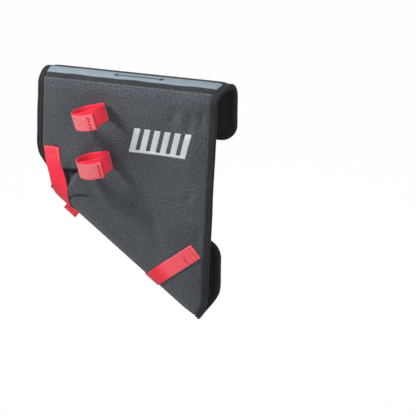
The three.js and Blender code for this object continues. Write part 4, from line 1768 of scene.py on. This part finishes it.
    def tape(self, name: str, band: Band, gap: float, length: float, width: float,
             height: float) -> Object:
        """Makes one flat tape under a strap's end.

        Args:
            name: Object's name.
            band: The strap.
            gap: Distance from the strap's end to the tape's end.
            length: Distance from the strap's end to its start.
            width: Tape's width.
            height: Height of its inner face.

        Returns:
            The tape.
        """
        line = np.array([band.flat_at(np.array(band.length - place), np.array(0.0)) for place in (length, gap)])
        level = partial(self.tape_level, height)
        made = Band(self.cloth, self.relief, even_along(line, STRAP_PITCH), width, self.tape_thickness, level)
        return made.solid(name)

    def tapes(self, side: str, band: Band) -> None:
        """Makes the loop tape sewn on the flap and the hook tape sewn on the strap.

        Args:
            side: Side of the pad, in words.
            band: The strap there.
        """
        loop = self.tape(f"{side}_loop_tape", band, 0.0, self.loop_length, self.width, self.loop_height)
        dress(loop, self.wardrobe.loop, "loop_tape", f"{side}_loop_patch")
        hook = self.tape(f"{side}_hook_tape", band, self.hook_margin, self.hook_length,
                         self.width - 2 * self.hook_margin, self.hook_height)
        dress(hook, self.wardrobe.hook, "hook_tape", f"{side}_strap_hook")

    def tail_place(self, band: Band, distance: Array, across: Array, offset: Array) -> Array:
        """Points of the left strap, tail included.

        Args:
            band: The strap's laid part.
            distance: Distances along the whole strap.
            across: Places across it.
            offset: Offsets above its inner face.

        Returns:
            Points in space.
        """
        laid = np.minimum(distance, band.length)
        flat = band.flat_at(laid, across)
        body = band.place(laid, across, offset)
        middle = self.thickness / 2
        radius = self.tail_radius
        angle = np.clip((distance - band.length) / radius, 0.0, math.pi)
        hung = np.maximum(distance - band.length - math.pi * radius, 0.0)
        bow = 1.6 * np.sin(np.clip(hung / (self.left_rear + self.left_tail), 0, 1) * math.pi * 1.4)
        lean = offset - middle
        rise = (radius - lean) * np.sin(angle) - hung
        out = radius - (radius - lean) * np.cos(angle) + bow
        fallen = self.cloth.cradle_run - self.cloth.past(flat) - rise
        drawn = self.cloth.full_corner + self.cloth.place(flat)[..., None] * self.cloth.along
        drawn = drawn + fallen[..., None] * self.cloth.under
        depth = self.cloth.down_radius + self.behind + middle + out
        tail = np.stack([drawn[..., 0], depth, drawn[..., 1]], -1)
        return np.where((distance > band.length)[..., None], tail, body)

    def build(self) -> None:
        """Makes both straps, their tapes and their stitches."""
        self.build_right()
        self.build_left()

    def build_right(self) -> None:
        """Makes the right strap, its tapes and its stitches."""
        right = Band(self.cloth, self.relief, self.right_line(), self.width, self.thickness, self.right_level,
                     hem=11.0, hem_rise=0.9)
        # The right strap wears the painted lit copy of the red webbing.
        dress(right.solid("right_strap"), self.wardrobe.painted_lit_red, "red_webbing", "right_down_tube_strap")
        self.sewn("right_strap_threads", self.box_stitch(right, 24.0), 0.3, self.wardrobe.bright_thread)
        tack = self.row.sew(across_at(4.2, -10.5, 10.5), right.surface)
        for place in (20.4, 21.5, 22.6):
            tack += self.tack.sew(across_at(place, -3.8, 8.8), right.surface)
        self.sewn("right_strap_tack", tack, 0.62, self.wardrobe.red_thread)
        self.tapes("right", right)

    def build_left(self) -> None:
        """Makes the left strap with its tail, its tapes and its stitches."""
        left = Band(self.cloth, self.relief, self.left_line(), self.width, self.thickness, self.left_level,
                    hem=10.0, hem_rise=0.4, skew=0.13)
        bend = math.pi * self.tail_radius
        total = left.length + bend + self.left_rear + self.left_tail
        distance = np.unique(np.concatenate([
            np.linspace(0.0, left.length, 150), left.hem + np.linspace(-1.0, 1.0, 5),
            left.length + np.linspace(0.0, bend, 12), np.linspace(left.length + bend, total, 50)]))
        near, across = np.broadcast_arrays(distance[:, None], left.section[None, :, 0])
        end_hem = self.tail_hem * smooth(distance, total - 11.0, total - 9.4)
        rise = left.section[None, :, 1]
        offset = rise + left.extra(distance)[:, None] * rise / self.thickness
        offset = offset - end_hem[:, None] * (1 - rise / self.thickness)
        strap = Maker.tube("left_strap", self.tail_place(left, near, across, offset), woven(near, across))
        dress(strap, self.wardrobe.pale_end_red, "red_webbing", "left_down_tube_strap")
        self.sewn("left_strap_threads", self.box_stitch(left, 23.5), 0.42, self.wardrobe.bright_thread)
        rows = self.slanted_row.sew(across_at(3.4, -10.5, 10.5), left.surface)
        rows += self.long_row.sew(np.array([[5.0, 9.3], [23.0, 9.3]]), left.surface)
        self.sewn("left_strap_rows", rows, 0.5, self.wardrobe.pink_thread)

        def tail_surface(points: Array) -> Sewn:
            """Points and outward directions on the side of the tail that faces the flap."""
            found = self.tail_place(left, points[:, 0], points[:, 1], np.full(len(points), self.thickness))
            return found, np.broadcast_to(np.array([0.0, -1.0, 0.0]), found.shape)

        tail = []
        for place in (total - 9.0, total - 3.0):
            tail += self.tail_row.sew(across_at(place, -9.5, 9.5), tail_surface)
        self.sewn("tail_threads", tail, 0.34, self.wardrobe.pink_thread)
        self.tapes("left", left)


class LoopFace(Enum):
    """Finishes of a looped strap, in the order of its materials."""

    BRUSHED = 0
    WOVEN = 1
    SEALED = 2


@dataclass
class BarLoop(OnPad):
    """One looped strap on the pad's face, with hook tape between its two layers."""

    name: str
    x: float
    z: float
    tilt: float
    hem: float
    radius: float = 24.0
    flattened: float = 3.0
    width: float = 25.0
    thickness: float = 1.5
    gap: float = 1.5
    underlap: float = 25.0
    rise: float = 35.0
    sag: float = 3.4
    hem_rise: float = 1.1
    bare_end: float = 2.3
    tack_place: float = 9.6
    tack_pitch: float = 4.3
    tack_reach: float = 0.5
    flat_margin: float = 0.9
    round_margin: float = 0.3
    angle_step: float = 2.5
    brushed_from: float = 190.0
    hook_thickness: float = 0.9
    hook_margin: float = 1.5
    clearance: float = 0.3
    pad_height: float = 7.5

    @cached_property
    def centre_y(self) -> float:
        """Place of the loop's axis in front of the panel.

        Returns:
            The place, in millimetres.
        """
        tilt = math.radians(self.tilt)
        reach = self.width / 2 * math.cos(tilt) + self.radius * math.sin(tilt)
        face = float(self.cloth.standoff(np.array([self.x, self.z - reach]))) + self.pad_height
        return -(face + self.clearance + self.radius + self.thickness - self.flattened)

    @property
    def end(self) -> float:
        """Angle of the loop's outer end."""
        return 360.0 + self.hem

    def place(self, angle: Array, height: Array, depth: Array) -> Array:
        """Points at angles round the loop, heights across it and depths outwards from its inner face.

        Args:
            angle: Angles round the loop.
            height: Heights across the strap.
            depth: Depths outwards.

        Returns:
            The points.
        """
        overlap = 360.0 - self.underlap
        lift = smooth(angle, overlap - self.rise, overlap - 2.0) * (self.thickness + self.gap)
        swell = 0.5 * np.sin(np.radians(angle * 2 + 40)) - 0.35 * np.cos(np.radians(angle * 3))
        radius = self.radius + lift + depth + swell * smooth(angle, 20, 60) * (1 - smooth(angle, 290, 330))
        turned = np.radians(angle)
        x = radius * np.sin(turned)
        y = np.minimum(-radius * np.cos(turned), radius - self.flattened)
        low = height - self.sag * smooth(angle, 318.0, 372.0) + 0.6 * np.sin(np.radians(angle * 1.5))
        tilt = math.radians(self.tilt)
        return np.stack([self.x + x * math.cos(tilt) - low * math.sin(tilt), self.centre_y + y,
                         self.z + x * math.sin(tilt) + low * math.cos(tilt)], -1)

    @property
    def degrees(self) -> float:
        """Angle for each millimetre along the strap."""
        return 180.0 / (math.pi * self.radius)

    def hem_height(self, angle: Array) -> Array:
        """Thickness that the folded hem adds at the outer end, most along its fold."""
        inside = (self.end - angle) / self.degrees
        return self.hem_rise * (1.0 - smooth(inside, 5.6, 6.8)) + 0.5 * np.exp(-(((inside - 2.8) / 1.1) ** 2))

    def surface(self, points: Array) -> Sewn:
        """Points and outward directions on the outer face, for (distance, height) points."""
        angle = points[:, 0] * self.degrees
        return raised(partial(self.place, angle, points[:, 1]), self.thickness + self.hem_height(angle))

    def ring(self, name: str, angles: Array, shape: Array, depth: Array) -> Object:
        """Makes a closed band round the loop.

        Args:
            name: Object's name.
            angles: Angles of its rings.
            shape: Its section, with the place across it first.
            depth: Depths outwards of its corners.

        Returns:
            The band.
        """
        near, across = np.broadcast_arrays(angles[:, None], shape[None, :, 0])
        laid = woven(near / self.degrees, across)
        return Maker.tube(name, self.place(near, across, depth)[:, ::-1], laid[:, ::-1])

    def build(self) -> None:
        """Makes the strap, its hook tape and its stitches."""
        self.build_strap()
        self.build_hook()
        self.build_tack()

    def build_strap(self) -> None:
        """Makes the strap, brushed on its outer face and sealed at its end."""
        shape = strap_section(self.width, self.flat_margin, self.round_margin)
        angles = np.unique(np.concatenate([np.arange(-self.underlap, self.end, self.angle_step), [self.end],
                                           self.end - np.linspace(0.4, 7.2, 16) * self.degrees]))
        thick = self.thickness + self.hem_height(angles)[:, None]
        strap = self.ring(f"{self.name}_webbing", angles, shape, shape[None, :, 1] * thick)
        dress(strap, self.wardrobe.brushed_red, "soft_red_webbing", f"{self.name}_strap")
        strap.data.materials.append(self.wardrobe.red)
        strap.data.materials.append(self.wardrobe.sealed_red)
        size, last = len(shape), len(angles) - 1
        bare = self.end - self.bare_end * self.degrees
        for number, face in enumerate(strap.data.polygons):
            side, row = size - 2 - number % size, number // size
            finish = LoopFace.WOVEN
            if row >= last or angles[row] >= bare:
                finish = LoopFace.SEALED
            elif 0 <= side < FACE_POINTS - 1 and angles[row] > self.brushed_from:
                finish = LoopFace.BRUSHED
            face.material_index = finish.value

    def build_hook(self) -> None:
        """Makes the hook tape between the two layers."""
        angles = np.arange(360.0 - self.underlap + 4.0, self.end - 8.0, self.angle_step)
        across = self.width / 2 - self.hook_margin
        thick = self.hook_thickness
        shape = np.array([(-across, thick), (across, thick), (across, 0.0), (-across, 0.0)])
        depth = self.thickness + self.clearance + shape[None, :, 1] - (self.thickness + self.gap)
        hook = self.ring(f"{self.name}_hook_tape", angles, shape, depth)
        dress(hook, self.wardrobe.hook, "hook_tape", f"{self.name}_hook")

    def build_tack(self) -> None:
        """Makes the slanted stitches near the outer end."""
        half = self.width / 2
        tack = Stitch(self.tack_pitch, self.tack_pitch * 1.1, 0.45, self.tack_reach)
        stitches = []
        for shift in (-0.8, 0.0, 0.8):
            place = self.end / self.degrees - self.tack_place + shift
            stitches += tack.sew(across_at(place, half - 3.4, -half + 2.6), self.surface)
        threads = Maker.threads(f"{self.name}_threads", stitches, 0.5)
        dress(threads, self.wardrobe.red_thread, "soft_red_webbing")


@dataclass
class SaddleRibbon(OnPad):
    """Pale ribbon along the saddle, with a plain double arrow on it."""

    low_angle: float = 50.0
    high_angle: float = 80.5
    end_inset: float = 12.5
    thickness: float = 0.6
    edge_share: float = 0.3
    ink: float = 0.12
    arrow_centre: float = 16.7
    arrow_length: float = 82.0
    shaft: float = 1.6
    head_length: float = 8.0
    head_width: float = 6.0

    def level(self, flat: Array) -> Array:
        """Height of the ribbon's inner face."""
        return self.relief.cover(flat) + 0.12

    def build(self) -> None:
        """Makes the ribbon and the arrow."""
        self.build_ribbon()
        self.build_arrow()

    def build_ribbon(self) -> None:
        """Makes the ribbon, whose edges waver a little."""
        first, last = 2 - self.high_angle / 180.0, 2 - self.low_angle / 180.0
        stations = np.linspace(first, last, 11)
        shares = np.linspace(0.0, 1.0, 141)[:, None]
        rows = []
        for station in stations:
            left, right = self.cloth.row(float(station), self.end_inset - 2.2)
            rows.append(left + (right - left) * shares)
        flat = np.array(rows)
        drift = 0.45 * np.sin(flat[..., 0] / 17.0 + 0.6) + 0.3 * np.sin(flat[..., 0] / 7.3)
        side = np.linspace(0.0, 1.0, len(stations))[:, None]
        flat[..., 1] += drift * side * 0.7
        level = self.level(flat)
        face = self.thickness * np.where((side == 0.0) | (side == 1.0), self.edge_share, 1.0)
        ribbon = self.sheet("saddle_ribbon", flat, level, level + face)
        dress(ribbon, self.wardrobe.ribbon, "pale_strip", "saddle_strip")

    def build_arrow(self) -> None:
        """Makes the double arrow on the ribbon."""
        middle = (self.low_angle + self.high_angle) / 2
        z = self.cloth.axis_height + self.cloth.top_radius * math.radians(middle)
        scale = self.cloth.top_radius / (self.cloth.top_radius + 7.5)
        tip, neck = self.arrow_length / 2, self.arrow_length / 2 - self.head_length
        shaft, head = self.shaft / 2 * scale, self.head_width / 2 * scale
        reach = np.concatenate([np.linspace(-tip, -neck, 6), [-neck + 0.01],
                                np.linspace(-neck + 1, neck - 1, 60), [neck - 0.01], np.linspace(neck, tip, 6)])
        half = np.where(np.abs(reach) >= neck, head * (tip - np.abs(reach)) / self.head_length + 0.02, shaft)
        across = np.linspace(-1.0, 1.0, 5)
        flat = np.stack([np.broadcast_to(self.arrow_centre + reach[:, None], (len(reach), 5)),
                         z + half[:, None] * across[None]], -1)
        level = self.level(flat) + self.thickness + 0.03
        arrow = self.sheet("ribbon_arrow", flat, level, level + self.ink)
        dress(arrow, self.wardrobe.dark_ink, "dark_print", "strip_print")


@dataclass
class PanelMark(OnPad):
    """Slanted bars that stand on one rule, printed on the panel."""

    left: float = 6.7
    top: float = -66.0
    count: int = 6
    pitch: float = 16.0
    bar_width: float = 9.5
    bar_height: float = 33.0
    slant: float = 9.0
    rule: float = 4.0
    thickness: float = 0.14

    def patch(self, name: str, corners: Array, steps: tuple[int, int], thickness: float) -> Object:
        """Makes a four-cornered patch of ink.

        Args:
            name: Object's name.
            corners: Its four flat corners.
            steps: Points along its two sides.
            thickness: Thickness of the ink.

        Returns:
            The patch.
        """
        u = np.linspace(0.0, 1.0, steps[0])[:, None, None]
        v = np.linspace(0.0, 1.0, steps[1])[None, :, None]
        flat = (1 - u) * ((1 - v) * corners[0] + v * corners[1]) + u * ((1 - v) * corners[3] + v * corners[2])
        level = self.relief.cover(flat) + 0.04
        return self.sheet(name, flat, level, level + thickness)

    def build(self) -> None:
        """Makes the bars and the rule as one piece."""
        foot = self.top - self.bar_height
        span = self.pitch * (self.count - 1) + self.bar_width
        shapes = [(np.array([[self.left, foot - self.rule], [self.left + span, foot - self.rule],
                             [self.left + span, foot], [self.left, foot]]), (4, 90), self.thickness + 0.06)]
        for number in range(self.count):
            x = self.left + self.pitch * number
            low = foot - self.rule * 0.6
            shapes.append((np.array([[x, low], [x + self.bar_width, low],
                                     [x + self.bar_width + self.slant, self.top], [x + self.slant, self.top]]),
                           (24, 9), self.thickness))
        made = [self.patch(f"mark_{number}", *shape) for number, shape in enumerate(shapes)]
        bpy.ops.object.select_all(action="DESELECT")
        for item in made:
            item.select_set(True)
        bpy.context.view_layer.objects.active = made[0]
        bpy.ops.object.join()
        made[0].name = "panel_mark"
        dress(made[0], self.wardrobe.pale_ink, "pale_print", "panel_print")


@dataclass(frozen=True)
class Lamp:
    """One soft area lamp, in metres and watts, with or without glints from it."""

    name: str
    place: Place
    aim: Place
    size: float
    power: float
    glints: bool = True

    def light(self) -> None:
        """Places the lamp."""
        data = bpy.data.lights.new(self.name, "AREA")
        data.shape = "DISK"
        data.size = self.size
        data.energy = self.power
        lamp = bpy.data.objects.new(self.name, data)
        lamp.location = self.place
        lamp.visible_glossy = self.glints
        lamp.rotation_euler = (Vector(self.aim) - Vector(self.place)).to_track_quat("-Z", "Y").to_euler()
        bpy.context.scene.collection.objects.link(lamp)


@dataclass
class Studio:
    """Camera, lamps and a plain pale floor."""

    location: Place = (0.68551, -1.47638, 0.45187)
    pitch: float = 68.0
    heading: float = 21.0
    focal: float = 1150.0
    picture: float = 416.0
    sensor: float = 36.0
    floor_height: float = -0.80
    floor_front: float = -6.0
    floor_side: float = 9.0
    bend_start: float = 3.0
    bend: float = 1.5
    wall_top: float = 6.0
    ambient: float = 0.25
    lamps: tuple[Lamp, ...] = (
        Lamp("key", (-0.56, -0.56, 0.64), (-0.02, 0.0, -0.1), size=0.35, power=10.4),
        Lamp("top", (0.1, -0.5, 1.7), (0.0, 0.0, -0.1), size=0.9, power=13.0),
        Lamp("fill", (1.9, -1.4, 0.6), (0.0, 0.0, -0.15), size=1.3, power=18.0),
        Lamp("back", (-0.5, 1.7, 0.3), (0.0, 0.0, -0.15), size=1.2, power=20.0, glints=False),
    )

    def camera(self) -> None:
        """Places the camera."""
        data = bpy.data.cameras.new("camera")
        data.sensor_width = self.sensor
        data.lens = self.focal * self.sensor / self.picture
        data.dof.use_dof = False
        view = bpy.data.objects.new("camera", data)
        view.location = self.location
        view.rotation_euler = (math.radians(self.pitch), 0.0, math.radians(self.heading))
        bpy.context.scene.collection.objects.link(view)
        bpy.context.scene.camera = view

    def floor(self) -> None:
        """Makes the pale floor, which curves up far behind."""
        turns = [math.radians(angle) for angle in range(0, 91, 6)]
        curve = [(self.bend_start + self.bend * math.sin(turn), self.bend - self.bend * math.cos(turn))
                 for turn in turns]
        outline = [(self.floor_front, 0.0), *curve, (self.bend_start + self.bend, self.wall_top)]
        verts = [(x, y, self.floor_height + z) for x in (-self.floor_side, self.floor_side) for y, z in outline]
        count = len(outline)
        faces = [(i, i + 1, i + 1 + count, i + count) for i in range(count - 1)]
        data = bpy.data.meshes.new("floor")
        data.from_pydata(verts, [], faces)
        data.polygons.foreach_set("use_smooth", [True] * len(data.polygons))
        floor = bpy.data.objects.new("floor", data)
        bpy.context.scene.collection.objects.link(floor)
        paint = Paint("pale_floor", {"Roughness": 0.9, "Specular IOR Level": 0.1,
                                     "Base Color": (0.62, 0.62, 0.62)})
        path = paint.node("ShaderNodeLightPath", {}, {}, "Is Camera Ray")
        glow = paint.node("ShaderNodeEmission", {}, {"Color": (1.0, 1.0, 1.0), "Strength": 1.0}, "Emission")
        lit = Wire(paint, paint.shader.outputs[0])
        mixed = paint.node("ShaderNodeMixShader", {}, {0: path * 0.99, 1: lit, 2: glow}, "Shader")
        output = next(n for n in paint.tree.nodes if n.type == "OUTPUT_MATERIAL")
        paint.tree.links.new(mixed.socket, output.inputs["Surface"])
        data.materials.append(paint.material)

    def world(self) -> None:
        """Gives the room its even pale light."""
        world = bpy.data.worlds.new("studio")
        world.use_nodes = True
        sky = next(n for n in world.node_tree.nodes if n.type == "BACKGROUND")
        sky.inputs["Color"].default_value = (1.0, 1.0, 1.0, 1.0)
        seen = Nodes(world.node_tree).node("ShaderNodeLightPath", {}, {}, "Is Camera Ray")
        strength = seen * (1.0 - self.ambient) + self.ambient
        world.node_tree.links.new(strength.socket, sky.inputs["Strength"])
        bpy.context.scene.world = world

    def build(self) -> None:
        """Sets the stage."""
        bpy.context.scene.view_settings.view_transform = "Standard"
        self.camera()
        for lamp in self.lamps:
            lamp.light()
        self.floor()
        self.world()


def main() -> None:
    """Builds the pad's pieces in order."""
    logging.basicConfig(level=logging.INFO, format="%(name)s: %(message)s")
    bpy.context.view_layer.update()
    for item in list(bpy.data.objects):
        if item.type in {"MESH", "LIGHT", "CAMERA"} and "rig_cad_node" not in item:
            bpy.data.objects.remove(item)
    Studio().build()
    cloth = ClothMap()
    relief = Relief(cloth)
    wardrobe = Wardrobe()
    PadBody(cloth, relief, wardrobe).build()
    EdgeTapes(cloth, relief, wardrobe).build()
    SaddleRibbon(cloth, relief, wardrobe).build()
    PanelMark(cloth, relief, wardrobe).build()
    DownTubeStraps(cloth, relief, wardrobe).build()
    BarLoop(cloth, relief, wardrobe, "upper_bar", x=-43.8, z=-48.0, tilt=16.0, hem=41.0).build()
    BarLoop(cloth, relief, wardrobe, "lower_bar", x=-38.4, z=-120.0, tilt=13.0, hem=52.0, tack_place=6.2,
            tack_pitch=3.1, tack_reach=0.1).build()


if __name__ == "__main__":
    main()
